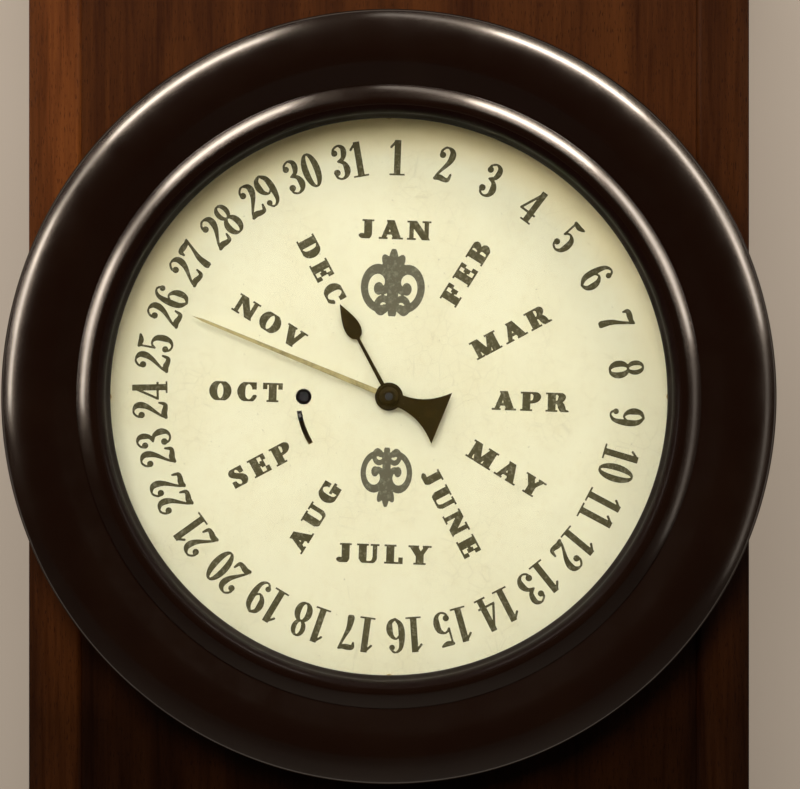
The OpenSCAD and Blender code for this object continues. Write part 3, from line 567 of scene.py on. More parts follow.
def ring_outline(s):
    """Outline of the turned ring: rabbet, back, edge, rim, crest, slope, bead and opening."""
    radius, back = RING_RADIUS, RING_BACK
    sight = radius - s.ring_width
    rabbet, ledge = sight + RABBET_WIDTH, back + RABBET_DEPTH
    rim = swept((0, 0), [(0, CREST_LEAN, s.crest_round, 12), (CREST_LEAN, RIM_LEAN, s.rim_round, 14),
                         (RIM_LEAN, EDGE_LEAN, s.edge_round, 16)])
    crest = radius - max(r for r, _ in rim)
    points = [(rabbet, back)]
    points += [(radius - inset, back + depth) for inset, depth in BACK_CORNER]
    points.append((radius - WALL_INSET, RING_CREST + rim[-1][1] - WALL_GAP))
    points += [(crest + r, RING_CREST + depth) for r, depth in reversed(rim)]
    points += swept(points[-1], [(0, -CREST_LEAN, s.dip_round, 12)])[1:]
    slope = points[-1]
    down = math.tan(math.radians(CREST_LEAN))
    top = (sight + s.bead_inset, RING_CREST - s.bead_drop)
    near, far, foot = BEAD_LEANS
    flank = swept(top, [(0, near, BEAD_TOP, 8), (near, far, s.bead_flank, 14), (far, foot, BEAD_FOOT, 10)])
    points += [(r, depth) for r, depth in reversed(flank) if depth > slope[1] - (slope[0] - r) * down]
    points += swept(top, [(0, BEAD_TURN, s.bead_round, 28)])[1:]
    points += [(sight + out, back + depth) for out, depth in THROAT]
    points += [(sight, ledge + RABBET_CORNER), (sight + RABBET_CORNER, ledge), (rabbet, ledge)]
    return points


# Figures and letters are drawn with a pen in a box of height 1. Each is its width and its strokes. A stroke
# is a function that says how far each point of a grid lies outside it. A point of a pen stroke has a width,
# or is a hair line.
HAIR = 0.045
STEM = 0.165
SERIF, SERIF_REACH = 0.038, 0.07


def smooth_path(points, closed):
    """Points on a smooth curve through the given points, widths included."""
    pts = np.array(points, float)
    count = len(pts)
    spans = count if closed else count - 1
    out = []
    for i in range(spans):
        if closed:
            p = [pts[(i + k - 1) % count] for k in range(4)]
        else:
            p = [pts[min(max(i + k - 1, 0), count - 1)] for k in range(4)]
        for t in np.linspace(0, 1, 8, endpoint=False):
            out.append(0.5 * (2 * p[1] + (p[2] - p[0]) * t + (2 * p[0] - 5 * p[1] + 4 * p[2] - p[3]) * t * t
                              + (3 * p[1] - p[0] - 3 * p[2] + p[3]) * t ** 3))
    out.append(pts[0] if closed else pts[-1])
    return np.array(out)


def drawn(path, gx, gy):
    """How far each grid point lies outside a line whose width changes from point to point."""
    nearest = np.full(gx.shape, 9.0)
    for a, b in zip(path[:-1], path[1:]):
        run = b[:2] - a[:2]
        size = max(run @ run, 1e-12)
        t = np.clip(((gx - a[0]) * run[0] + (gy - a[1]) * run[1]) / size, 0, 1)
        away = np.hypot(gx - a[0] - t * run[0], gy - a[1] - t * run[1]) - (a[2] + t * (b[2] - a[2])) / 2
        nearest = np.minimum(nearest, away)
    return nearest


def bar(x0, y0, x1, y1):
    """Rectangle between two corners."""
    return lambda gx, gy: np.maximum(np.maximum(x0 - gx, gx - x1), np.maximum(y0 - gy, gy - y1))


def dot(x, y, radius):
    """Round dot."""
    return lambda gx, gy: np.hypot(gx - x, gy - y) - radius


def line(*points):
    """Stroke straight from point to point."""
    return lambda gx, gy: drawn(np.array(points, float), gx, gy)


def pen(*points):
    """Smooth stroke through the points."""
    path = smooth_path([(*p, HAIR)[:3] for p in points], False)
    return lambda gx, gy: drawn(path, gx, gy)


def oval(x, rx, ry, y=0.5, thick=STEM):
    """Closed stroke round an oval, thick at its sides."""
    path = smooth_path([(x + rx * math.cos(a), y + ry * math.sin(a),
                         HAIR + (thick - HAIR) * abs(math.cos(a)) ** 1.5)
                        for a in (math.pi * i / 8 for i in range(16))], True)
    return lambda gx, gy: drawn(path, gx, gy)


def stem(x, low=0.0, high=1.0, feet=(0, 1)):
    """Upright stroke with a flat serif at each of the given ends."""
    left, right = x - SERIF_REACH, x + STEM + SERIF_REACH
    return [bar(x, low, x + STEM, high)] + [bar(left, y - (SERIF if y else 0), right, y + (0 if y else SERIF))
                                            for y in feet]


SIX = [pen((0.41, 0.85, 0.05), (0.36, 0.95), (0.26, 0.975), (0.13, 0.84, 0.10), (0.085, 0.50, 0.165),
           (0.11, 0.20, 0.13), (0.25, 0.025)),
       pen((0.25, 0.025), (0.39, 0.12, 0.11), (0.425, 0.31, 0.165), (0.38, 0.49, 0.11), (0.26, 0.59),
           (0.15, 0.51), (0.10, 0.40, 0.06)), dot(0.385, 0.83, 0.072)]

GLYPHS = {
    "0": (0.5, [oval(0.25, 0.165, 0.477)]),
    "1": (0.46, [bar(0.155, 0, 0.32, 1), bar(0.03, 0, 0.445, 0.038),
                 line((0.20, 0.98, 0.04), (0.05, 0.80, 0.05))]),
    "2": (0.5, [pen((0.09, 0.70, 0.05), (0.075, 0.84), (0.16, 0.955), (0.26, 0.975, 0.05),
                    (0.385, 0.89, 0.13), (0.405, 0.74, 0.165), (0.34, 0.55, 0.12), (0.20, 0.34, 0.07),
                    (0.09, 0.17, 0.05), (0.05, 0.04, 0.05)),
                pen((0.05, 0.05, 0.08), (0.17, 0.10, 0.15), (0.31, 0.065, 0.13), (0.42, 0.08, 0.09),
                    (0.465, 0.24, 0.04)), dot(0.125, 0.745, 0.082)]),
    "3": (0.5, [pen((0.08, 0.76, 0.05), (0.10, 0.89), (0.24, 0.975), (0.365, 0.90, 0.11),
                    (0.385, 0.76, 0.145), (0.33, 0.60, 0.10), (0.19, 0.53)),
                pen((0.19, 0.53), (0.35, 0.46, 0.10), (0.415, 0.27, 0.165), (0.37, 0.10, 0.10),
                    (0.24, 0.025), (0.11, 0.08), (0.07, 0.22, 0.05)),
                dot(0.12, 0.775, 0.08), dot(0.115, 0.215, 0.085)]),
    "4": (0.53, [line((0.36, 0.98, 0.05), (0.04, 0.28, 0.05)), bar(0.02, 0.255, 0.51, 0.30),
                 bar(0.285, 0, 0.44, 1), bar(0.20, 0, 0.52, 0.038)]),
    "5": (0.5, [pen((0.10, 0.955, 0.09), (0.25, 0.925, 0.13), (0.40, 0.97, 0.06)),
                bar(0.085, 0.50, 0.125, 0.97),
                pen((0.105, 0.51), (0.17, 0.585), (0.27, 0.605, 0.05), (0.39, 0.50, 0.13),
                    (0.415, 0.30, 0.165), (0.37, 0.11, 0.10), (0.24, 0.025), (0.11, 0.08),
                    (0.07, 0.20, 0.05)), dot(0.115, 0.205, 0.08)]),
    "6": (0.5, SIX),
    "7": (0.5, [pen((0.06, 0.78, 0.04), (0.08, 0.91, 0.11), (0.22, 0.92, 0.15), (0.35, 0.92, 0.11),
                    (0.455, 0.975, 0.05)),
                pen((0.455, 0.975, 0.05), (0.34, 0.66, 0.07), (0.235, 0.38, 0.13), (0.205, 0.12, 0.175),
                    (0.21, 0.07, 0.17))]),
    "8": (0.5, [oval(0.25, 0.135, 0.215, 0.76, 0.12), oval(0.25, 0.165, 0.262, 0.287, 0.16)]),
    "A": (0.72, [line((0.36, 0.99, 0.05), (0.10, 0, 0.05)), line((0.35, 0.98, 0.16), (0.60, 0, 0.16)),
                 bar(0.16, 0.29, 0.52, 0.335), bar(0, 0, 0.2, 0.04), bar(0.46, 0, 0.74, 0.04)]),
    "B": (0.64, stem(0.08) + [
        pen((0.2, 0.978), (0.38, 0.97, 0.05), (0.495, 0.87, 0.13), (0.505, 0.74, 0.15), (0.44, 0.59, 0.09),
            (0.33, 0.525), (0.2, 0.52)),
        pen((0.2, 0.52), (0.40, 0.505, 0.05), (0.53, 0.40, 0.14), (0.54, 0.25, 0.16), (0.48, 0.09, 0.10),
            (0.36, 0.025), (0.2, 0.022))]),
    "C": (0.64, [pen((0.575, 0.72), (0.50, 0.90), (0.36, 0.975), (0.18, 0.84, 0.11),
                     (0.115, 0.50, 0.17), (0.18, 0.16, 0.11), (0.36, 0.025), (0.50, 0.08),
                     (0.59, 0.27)), bar(0.555, 0.68, 0.595, 0.97)]),
    "D": (0.70, stem(0.08) + [pen((0.2, 0.978), (0.36, 0.965, 0.05), (0.53, 0.82, 0.13), (0.585, 0.50, 0.17),
                                  (0.53, 0.18, 0.13), (0.36, 0.035, 0.05), (0.2, 0.022))]),
    "E": (0.60, stem(0.08) + [bar(0.2, 0.955, 0.54, 1), bar(0.2, 0, 0.56, 0.045), bar(0.2, 0.485, 0.43, 0.53),
                              bar(0.50, 0.74, 0.54, 1), bar(0.52, 0, 0.56, 0.26),
                              bar(0.40, 0.39, 0.44, 0.62)]),
    "F": (0.57, stem(0.08) + [bar(0.2, 0.955, 0.54, 1), bar(0.2, 0.485, 0.43, 0.53), bar(0.50, 0.72, 0.54, 1),
                              bar(0.40, 0.39, 0.44, 0.62)]),
    "G": (0.70, [pen((0.575, 0.74), (0.50, 0.90), (0.36, 0.975), (0.18, 0.84, 0.11),
                     (0.115, 0.50, 0.17), (0.18, 0.16, 0.11), (0.36, 0.025), (0.50, 0.07),
                     (0.53, 0.16, 0.06)), bar(0.555, 0.68, 0.595, 0.97), bar(0.46, 0.06, 0.605, 0.41),
                 bar(0.38, 0.40, 0.68, 0.44)]),
    "J": (0.46, stem(0.21, 0.22, 1, (1,)) + [pen((0.2925, 0.26, 0.165), (0.275, 0.09, 0.11), (0.17, 0.025),
                                                 (0.075, 0.10, 0.05)), dot(0.085, 0.155, 0.065)]),
    "L": (0.58, stem(0.08) + [bar(0.2, 0, 0.55, 0.045), bar(0.51, 0, 0.55, 0.29)]),
    "M": (0.90, [bar(0.08, 0, 0.12, 1), bar(0, 0, 0.2, 0.038), bar(0, 0.962, 0.2, 1),
                 line((0.13, 1, 0.16), (0.42, 0, 0.15)), line((0.43, 0, 0.05), (0.71, 1, 0.05))]
          + stem(0.66)),
    "N": (0.74, [bar(0.08, 0, 0.12, 1), bar(0, 0, 0.2, 0.038), bar(0, 0.962, 0.2, 1),
                 line((0.13, 1, 0.16), (0.62, 0, 0.15)), bar(0.61, 0, 0.65, 1), bar(0.53, 0.962, 0.73, 1)]),
    "O": (0.70, [oval(0.35, 0.25, 0.477, 0.5, 0.17)]),
    "P": (0.62, stem(0.08) + [pen((0.2, 0.978), (0.39, 0.97, 0.05), (0.52, 0.86, 0.13), (0.535, 0.72, 0.16),
                                  (0.48, 0.56, 0.10), (0.36, 0.48), (0.2, 0.47))]),
    "R": (0.72, stem(0.08) + [pen((0.2, 0.978), (0.39, 0.97, 0.05), (0.51, 0.87, 0.13), (0.52, 0.74, 0.15),
                                  (0.46, 0.58, 0.10), (0.35, 0.51), (0.2, 0.50)),
                              pen((0.34, 0.51, 0.05), (0.47, 0.42, 0.12), (0.52, 0.22, 0.15),
                                  (0.58, 0.05, 0.09), (0.69, 0.035))]),
    "S": (0.56, [pen((0.455, 0.72), (0.40, 0.91), (0.27, 0.975), (0.14, 0.89, 0.10),
                     (0.125, 0.73, 0.14), (0.25, 0.57, 0.16), (0.40, 0.43, 0.16), (0.45, 0.26, 0.14),
                     (0.40, 0.09, 0.09), (0.27, 0.025), (0.14, 0.08), (0.075, 0.28)),
                 bar(0.44, 0.70, 0.48, 0.98), bar(0.05, 0.02, 0.09, 0.30)]),
    "T": (0.62, stem(0.2275, feet=(0,)) + [bar(0.02, 0.955, 0.60, 1), bar(0.02, 0.72, 0.06, 1),
                                           bar(0.56, 0.72, 0.60, 1)]),
    "U": (0.70, stem(0.08, 0.25, 1, (1,)) + [pen((0.1625, 0.30, 0.165), (0.20, 0.09, 0.10), (0.36, 0.025),
                                                 (0.53, 0.09), (0.59, 0.30)),
                                             bar(0.57, 0.25, 0.61, 1), bar(0.49, 0.962, 0.69, 1)]),
    "V": (0.70, [line((0.11, 1, 0.16), (0.36, 0, 0.15)), line((0.36, 0, 0.05), (0.60, 1, 0.05)),
                 bar(0, 0.962, 0.26, 1), bar(0.50, 0.962, 0.70, 1)]),
    "Y": (0.70, [line((0.11, 1, 0.16), (0.34, 0.46, 0.15)), line((0.60, 1, 0.05), (0.37, 0.46, 0.05)),
                 bar(0.2675, 0, 0.4325, 0.5), bar(0.19, 0, 0.51, 0.038), bar(0, 0.962, 0.26, 1),
                 bar(0.50, 0.962, 0.70, 1)]),
}


def outline_loops(field, low, step):
    """Closed outlines of the part of a grid that is below zero, with that part on their left."""
    inside = field < 0
    count = inside[:-1, :-1].astype(int) + inside[:-1, 1:] + inside[1:, :-1] + inside[1:, 1:]
    follow = {}
    for j, i in zip(*np.nonzero((count > 0) & (count < 4))):
        corner = (inside[j, i], inside[j, i + 1], inside[j + 1, i + 1], inside[j + 1, i])
        edge = (("h", j, i), ("v", j, i + 1), ("h", j + 1, i), ("v", j, i))
        for k in range(4):
            if corner[k] and not corner[(k + 1) % 4]:
                m = (k - 1) % 4
                while corner[m] or not corner[(m + 1) % 4]:
                    m = (m - 1) % 4
                follow[edge[k]] = edge[m]
    loops = []
    while follow:
        here = next(iter(follow))
        loop = []
        while here in follow:
            way, j, i = here
            a = field[j, i]
            b = field[j, i + 1] if way == "h" else field[j + 1, i]
            t = a / (a - b)
            loop.append((low[0] + (i + (t if way == "h" else 0)) * step,
                         low[1] + (j + (t if way == "v" else 0)) * step))
            here = follow.pop(here)
        loops.append(loop)
    return loops


def thinned(loop, slack, longest=0.12, fewest=6, rounds=4):
    """Outline without the points that lie on the line between their neighbours."""
    keep = list(loop)
    for _ in range(rounds):
        out = []
        skip = False
        for i, p in enumerate(keep):
            a, b = Vector(keep[i - 1]), Vector(keep[(i + 1) % len(keep)])
            run = b - a
            off = abs(run.x * (p[1] - a.y) - run.y * (p[0] - a.x)) / max(run.length, 1e-9)
            skip = not skip and off < slack and run.length < longest
            if not skip:
                out.append(p)
        if len(out) < fewest or len(out) == len(keep):
            break
        keep = out
    return keep


def inked(strokes, low, high, weight=0.0, step=1 / 72, margin=0.035, slack=0.0016):
    """Flat print of some strokes, made bolder by a weight: its outlines and the triangles that fill them."""
    gx, gy = np.meshgrid(np.arange(low[0], high[0] + step, step), np.arange(low[1], high[1] + step, step))
    field = np.minimum.reduce([stroke(gx, gy) for stroke in strokes]) - weight
    field = np.maximum(field, np.maximum(low[1] + margin - gy, gy - high[1] + margin))
    loops = [thinned(loop, slack) for loop in outline_loops(field + 1e-9, low, step)]
    loops = [loop for loop in loops if len(loop) > 5]
    flat = [point for loop in loops for point in loop]
    fill = tessellate_polygon([[Vector((x, y, 0)) for x, y in loop] for loop in loops])
    return loops, flat, fill


def glyph_of(sign):
    """Width and strokes of a figure or letter; a nine is a six turned over."""
    return GLYPHS["6" if sign == "9" else sign]


PRINTS = {}
INK_SUNK = 0.00002


def printed(sign, weight):
    """Flat print of a figure or letter, made once for each weight."""
    if (sign, weight) not in PRINTS:
        width, strokes = glyph_of(sign)
        loops, flat, fill = inked(strokes, (-0.09, -0.04), (width + 0.11, 1.04), weight)
        if sign == "9":
            loops = [[(width - x, 1 - y) for x, y in loop] for loop in loops]
            flat = [(width - x, 1 - y) for x, y in flat]
        PRINTS[sign, weight] = loops, flat, fill
    return PRINTS[sign, weight]


def stamp(work, print_, origin, across, up, size, lift):
    """Adds a print to a mesh as a thin slab on the dial, closed all round."""
    loops, flat, fill = print_
    low, top = [], []
    for x, y in flat:
        at = origin + across * (x * size) + up * (y * size)
        low.append(work.verts.new(dial_point(at.x, at.y, DIAL_FACE - INK_SUNK)))
        top.append(work.verts.new(dial_point(at.x, at.y, DIAL_FACE + lift)))
    for a, b, c in fill:
        area = ((flat[b][0] - flat[a][0]) * (flat[c][1] - flat[a][1])
                - (flat[b][1] - flat[a][1]) * (flat[c][0] - flat[a][0]))
        if abs(area) < 1e-9:
            continue
        work.faces.new((top[a], top[b], top[c]))
        work.faces.new((low[c], low[b], low[a]))
    start = 0
    for loop in loops:
        for i in range(len(loop)):
            a, b = start + i, start + (i + 1) % len(loop)
            work.faces.new((low[a], low[b], top[b], top[a]))
        start += len(loop)


def word_width(word, gap):
    """Width of a word with a gap between its signs."""
    return sum(glyph_of(sign)[0] for sign in word) + gap * (len(word) - 1)


def stamp_word(work, word, origin, across, up, size, gap, weight, lift):
    """Adds a word whose left foot is at the origin."""
    run = 0.0
    for sign in word:
        stamp(work, printed(sign, weight), origin + across * (run * size), across, up, size, lift)
        run += glyph_of(sign)[0] + gap


def outward(angle):
    """Direction out from the dial's middle at an angle clockwise from twelve, and the clockwise one."""
    return Vector((math.sin(angle), math.cos(angle))), Vector((math.cos(angle), -math.sin(angle)))


def leaf(base, lean, size, width):
    """Pen stroke of one leaf: a slim stalk, a full middle and a rounded tip."""
    a = math.radians(lean)
    return pen(*[(base[0] + size * t * math.sin(a), base[1] + size * t * math.cos(a), width * w)
                 for t, w in ((0, 0.25), (0.25, 0.6), (0.55, 1.0), (0.8, 0.85), (1.0, 0.4))])


def scroll(side, middle, start, sweep, wide, tight, width, steps=16):
    """Pen stroke that winds in round its middle and ends in a dot."""
    points = []
    for t in (i / steps for i in range(steps + 1)):
        a = math.radians(start + sweep * t)
        r = wide + (tight - wide) * t
        points.append((side * (middle[0] + r * math.sin(a)), middle[1] + r * math.cos(a),
                       width * (0.45 + 2.2 * t * (1 - t))))
    return [pen(*points), dot(*points[-1][:2], width * 0.75)]


# Scrollwork of the dial, in a box of height 1. Each of the two is its way out from the middle, leaves to a
# side, their lean, weight, grid steps, distance from the middle, squeeze across and height.
SCROLL_BOX = (-0.68, -0.04), (0.68, 1.06)
LEAF_SIZE = 0.32
SCROLLWORK = ((1, 2, 38, 0.034, 96, 0.0425, 0.78, 0.0345), (-1, 1, 34, 0.026, 88, 0.0270, 0.72, 0.0305))


def scrollwork(leaves, lean, size):
    """Two scrolls back to back about a drop, with a few leaves over them."""
    strokes = [pen((0, 0.17, 0.05), (0, 0.32, 0.15), (0, 0.48, 0.10), (0, 0.70, 0.03)),
               bar(-0.10, 0.11, 0.10, 0.15), dot(0, 0.05, 0.05)]
    for side in (-1, 1):
        strokes += scroll(side, (0.25, 0.48), 213, -413, 0.40, 0.07, 0.085)
        strokes += scroll(side, (0.20, 0.13), 270, 330, 0.16, 0.05, 0.05)
    return strokes + [leaf((0, 0.66), lean * i, size * (1 - 0.12 * abs(i)), 0.12)
                      for i in range(-leaves, leaves + 1)]


class CLOCK_OT_boards(Operator):
    """Boards of the case, with rounded edges, grain and varnish"""
    bl_idname = "clock.boards"
    bl_label = "Case boards"

    def execute(self, context):
        s = context.scene.clock_case
        for node, painted_shades in BOARDS.items():
            if node in CROSS_BOARDS:
                grain, way = (GRAIN_STRETCH, 1, 1), "across"
            else:
                grain, way = (1, 1, GRAIN_STRETCH), "upright"
            # Lit and shaded copies of one mahogany, each with its own painted shade, named after its level at
            # the head.
            wood = shared(f"mahogany_{way}_{round(100 * painted_shades[0])}", mahogany, s, grain, *painted_shades)
            finished(node, s.edge, 3, wood)
        finished("backboard", BACK_EDGE, 1, softwood("planed_softwood", s))
        return {"FINISHED"}


class CLOCK_OT_ring(Operator):
    """Turned and blackened ring of the door, and the bead behind its glass"""
    bl_idname = "clock.ring"
    bl_label = "Door ring"

    def execute(self, context):
        s = context.scene.clock_door
        polished = ebonised("ebonised_wood", s, gloss=0.95, rough=0.17)
        matt = ebonised("blackened_rabbet", s, gloss=0.12, rough=0.55)
        work = bmesh.new()
        turned(work, ring_outline(s), s.steps)
        polish_start = RING_RADIUS - s.ring_width + s.bead_inset - POLISH_INSET
        polish_end = RING_RADIUS - MATT_EDGE
        for face in work.faces:
            at = face.calc_center_median()
            away = math.hypot(at.x, at.z)
            face.material_index = int(away < polish_start or away > polish_end)
        new_piece("turned_ring", to_mesh(work, "turned_ring", 50), body_of("round_frame"), [polished, matt],
                  ["round_frame"])
        paint_node("glass_bead", matt)
        return {"FINISHED"}


class CLOCK_OT_glass(Operator):
    """Clear pane in the door"""
    bl_idname = "clock.glass"
    bl_label = "Door glass"

    def execute(self, context):
        clear = window_glass("window_glass", context.scene.clock_door)
        pane = finished("glass", GLASS_EDGE, 2, clear, name="glass_pane")
        pane.visible_shadow = False
        return {"FINISHED"}


class CLOCK_OT_dial(Operator):
    """Cream paint of the dial plate"""
    bl_idname = "clock.dial"
    bl_label = "Dial paint"

    def execute(self, context):
        paint = dial_paint("dial_paint", context.scene.clock_dial)
        finished("dial_plate", DIAL_EDGE, 2, paint, name="dial_painted")
        return {"FINISHED"}


def print_piece(name, work, ink):
    """Piece of the dial's print."""
    return new_piece(name, to_mesh(work, name, 20), body_of("dial_plate"), [ink])


class CLOCK_OT_dates(Operator):
    """Printed figures of the dates round the dial"""
    bl_idname = "clock.dates"
    bl_label = "Date figures"

    def execute(self, context):
        s = context.scene.clock_dial
        work = bmesh.new()
        size, gap, weight = s.date_height, 0.045, 0.010
        for date in range(1, DATES + 1):
            out, clockwise = outward(s.turn + 2 * math.pi * (date - 1) / DATES)
            word = str(date)
            foot = out * (s.date_middle - size / 2) - clockwise * (word_width(word, gap) * size / 2)
            stamp_word(work, word, foot, clockwise, out, size, gap, weight, s.ink_lift)
        print_piece("date_figures", work, shared("date_ink", printing_ink, s.ink, s.paint))
        return {"FINISHED"}


class CLOCK_OT_months(Operator):
    """Printed short names of the months: the first and the seventh lie across, the others point out"""
    bl_idname = "clock.months"
    bl_label = "Month names"

    def execute(self, context):
        s = context.scene.clock_dial
        work = bmesh.new()
        size, gap, stretch, weight = s.month_height, 0.27, 1.5, 0.058
        top, bottom = 0, len(MONTHS) // 2
        top_middle, bottom_middle = 0.088, 0.083
        for number, word in enumerate(MONTHS):
            out, clockwise = outward(s.turn + 2 * math.pi * number / len(MONTHS))
            run = word_width(word, gap) * size * stretch
            if number == top:
                across, up = clockwise, out
                foot = out * (top_middle - size / 2) - across * (run / 2)
            elif number == bottom:
                across, up = -clockwise, -out
                foot = out * (bottom_middle + size / 2) - across * (run / 2)
            elif number < bottom:
                across, up = out, -clockwise
                foot = out * (s.month_outer - run) - up * (size / 2)
            else:
                across, up = -out, clockwise
                foot = out * s.month_outer - up * (size / 2)
            stamp_word(work, word, foot, across * stretch, up, size, gap, weight, s.ink_lift)
        print_piece("month_names", work, shared("date_ink", printing_ink, s.ink, s.paint))
        return {"FINISHED"}


class CLOCK_OT_ornaments(Operator):
    """Plain scrollwork above and below the middle of the dial"""
    bl_idname = "clock.ornaments"
    bl_label = "Scrollwork"

    def execute(self, context):
        s = context.scene.clock_dial
        work = bmesh.new()
        out, clockwise = outward(s.turn)
        for way, leaves, lean, weight, grid, start, squeeze, height in SCROLLWORK:
            mark = inked(scrollwork(leaves, lean, LEAF_SIZE), *SCROLL_BOX, weight, 1 / grid)
            stamp(work, mark, out * (way * start), clockwise * (way * squeeze), out * way, height, s.ink_lift)
        print_piece("leaf_ornaments", work, printing_ink("ornament_ink", s.ornament, s.paint))
        return {"FINISHED"}


def in_order(elements, place):
    """Numbers a mesh's elements by their place, so that a cut mesh is the same each time."""
    for i, element in enumerate(sorted(elements, key=place)):
        element.index = i
    elements.sort()


class CLOCK_OT_hands(Operator):
    """Date hand with its gilt needle and black fishtail, black month hand and the nut"""
    bl_idname = "clock.hands"
    bl_label = "Hands"

    def execute(self, context):
        s = context.scene.clock_metal
        black = lacquer("black_lacquer", s.black)
        gilt = dull_gilt("dull_gilt", s.needle)
        work = softened("date_hand", s.edge, 2)
        tip = max((v.co for v in work.verts), key=lambda p: p.x * p.x + p.z * p.z)
        pointing = Vector((tip.x, 0, tip.z)).normalized()
        boss = 0.0072
        bmesh.ops.bisect_plane(work, geom=[*work.verts, *work.edges, *work.faces], dist=1e-7,
                               plane_co=pointing * boss, plane_no=pointing)
        in_order(work.verts, lambda v: tuple(v.co))
        in_order(work.faces, lambda face: tuple(face.calc_center_median()))
        for face in work.faces:
            face.material_index = int(face.calc_center_median().dot(pointing) > boss)
        new_piece("date_hand_finished", to_mesh(work, "date_hand_finished", 25, s.edge), body_of("date_hand"),
                  [black, gilt], ["date_hand"])
        for node in ("month_hand", "hand_nut"):
            finished(node, s.edge, 2, black, 25)
        return {"FINISHED"}


class CLOCK_OT_movement(Operator):
    """Brass and steel of the movement and calendar work"""
    bl_idname = "clock.movement"
    bl_label = "Movement metals"

    def execute(self, context):
        for name, nodes in WORKS.items():
            for node in nodes:
                paint_node(node, clock_metal(name))
        return {"FINISHED"}


# Screw heads: radius and height of each row of the dome, as shares. Nail heads: radius and height of each
# row, in metres. Both are set a little into the surface. Each screw has its height on the hinge and the
# turn of its slot in degrees.
DOME = ((1.0, 0.0), (1.0, 0.25), (0.93, 0.55), (0.75, 0.82), (0.45, 0.96))
SCREW_RADIUS, SCREW_HEIGHT = 0.0024, 0.0007
SCREW_INSET = 0.0075
SCREWS = ((-0.022, 25), (0.0, 75), (0.022, 125))
LEAF_THICKNESS = 0.0012
NAIL = ((0.0013, 0.0), (0.0017, 0.0001), (0.0016, 0.0003), (0.0009, 0.00045))
NAIL_TOP = 0.0005
NAIL_DEPTH = -0.005
NAIL_PLACES = (-0.19, -0.075, 0.075, 0.19)
SUNK = 0.0001


def slotted_head(work, origin, out, side, radius, height, steps=16):
    """Adds a domed screw head with a slot, on a surface that faces out."""
    half_slot, disc = radius * 0.16, radius * 0.97
    turn = Matrix((side, out.cross(side), out)).transposed()
    base = bmesh.ops.create_cone(work, cap_ends=True, segments=2 * steps, radius1=disc, radius2=disc,
                                 depth=height * 0.5)["verts"]
    for v in base:
        v.co = origin + turn @ (v.co + Vector((0, 0, height * 0.15)))
    for sign in (-1, 1):
        rings = []
        for part, rise in DOME:
            r = radius * part
            reach = math.acos(half_slot / r)
            rings.append([work.verts.new(origin + turn @ Vector((r * math.sin(a), sign * r * math.cos(a),
                                                                 height * rise)))
                          for a in (reach * (2 * i / steps - 1) for i in range(steps + 1))])
        for here, there in zip(rings[:-1], rings[1:]):
            for i in range(steps):
                work.faces.new((here[i], here[i + 1], there[i + 1], there[i]))
        work.faces.new(rings[-1])
        work.faces.new(rings[0][::-1])
        work.faces.new([ring[0] for ring in rings] + [ring[-1] for ring in reversed(rings)])


def nail_head(work, face, out, height, steps=20):
    """Adds a nail head to a side board, whose face is at X and looks out along it."""
    def point(r, rise, a=0.0):
        return work.verts.new(Vector((face + out * (rise - SUNK), NAIL_DEPTH + r * math.cos(a),
                                      height + r * math.sin(a))))

    rings = [[point(r, rise, 2 * math.pi * k / steps) for r, rise in NAIL] for k in range(steps)]
    bottom, top = point(0, 0), point(0, NAIL_TOP)
    for k in range(steps):
        here, there = rings[k], rings[(k + 1) % steps]
        for j in range(len(here) - 1):
            work.faces.new((here[j], here[j + 1], there[j + 1], there[j]))
        work.faces.new((bottom, here[0], there[0]))
        work.faces.new((here[-1], top, there[-1]))


class CLOCK_OT_fittings(Operator):
    """Brass of the hinge, hook and hanger, hinge screws and the nails of the sides"""
    bl_idname = "clock.fittings"
    bl_label = "Hinge, hook and hanger"

    def execute(self, context):
        brass = clock_metal("aged_brass")
        for node in SHEET_BRASS:
            finished(node, BRASS_EDGE, 2, brass)
        for node in WIRE_BRASS:
            paint_node(node, brass)
        left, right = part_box("left_side")[0].x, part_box("right_side")[1].x
        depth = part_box("hinge_case_leaf")[1].y - SCREW_INSET
        work = bmesh.new()
        for height, degrees in SCREWS:
            turn = math.radians(degrees)
            slotted_head(work, Vector((right + LEAF_THICKNESS - SUNK, depth, height)), Vector((1, 0, 0)),
                         Vector((0, math.cos(turn), math.sin(turn))), SCREW_RADIUS, SCREW_HEIGHT)
        new_piece("hinge_screw_heads", to_mesh(work, "hinge_screw_heads", 30), body_of("hinge_case_leaf"),
                  [brass])
        work = bmesh.new()
        for out, face in ((-1, left), (1, right)):
            for height in NAIL_PLACES:
                nail_head(work, face, out, height)
        new_piece("side_nails", to_mesh(work, "side_nails", 30), body_of("left_side"),
                  [clock_metal("worn_steel")])
        return {"FINISHED"}


def sheet_object(name, corners, material):
    """Flat sheet of the stage."""
    mesh = bpy.data.meshes.new(name)
    mesh.from_pydata(corners, [], [tuple(range(len(corners)))])
    mesh.materials.append(material)
    sheet = bpy.data.objects.new(name, mesh)
    bpy.context.scene.collection.objects.link(sheet)
    return sheet


def shows_room(n, aside):
    """How far a ray shows the pale room: all that the eye sees, straight or through glass, and what gloss
    sees where aside is 1."""
    ray = n.add("LightPath").outputs
    straight = n.math("LESS_THAN", n.math("ADD", ray["Diffuse Depth"], ray["Glossy Depth"]), 0.5)
    through = n.math("MULTIPLY", ray["Is Transmission Ray"], straight)
    gloss = n.math("MULTIPLY", ray["Is Glossy Ray"], aside)
    return n.math("MAXIMUM", n.math("MAXIMUM", ray["Is Camera Ray"], through), gloss)


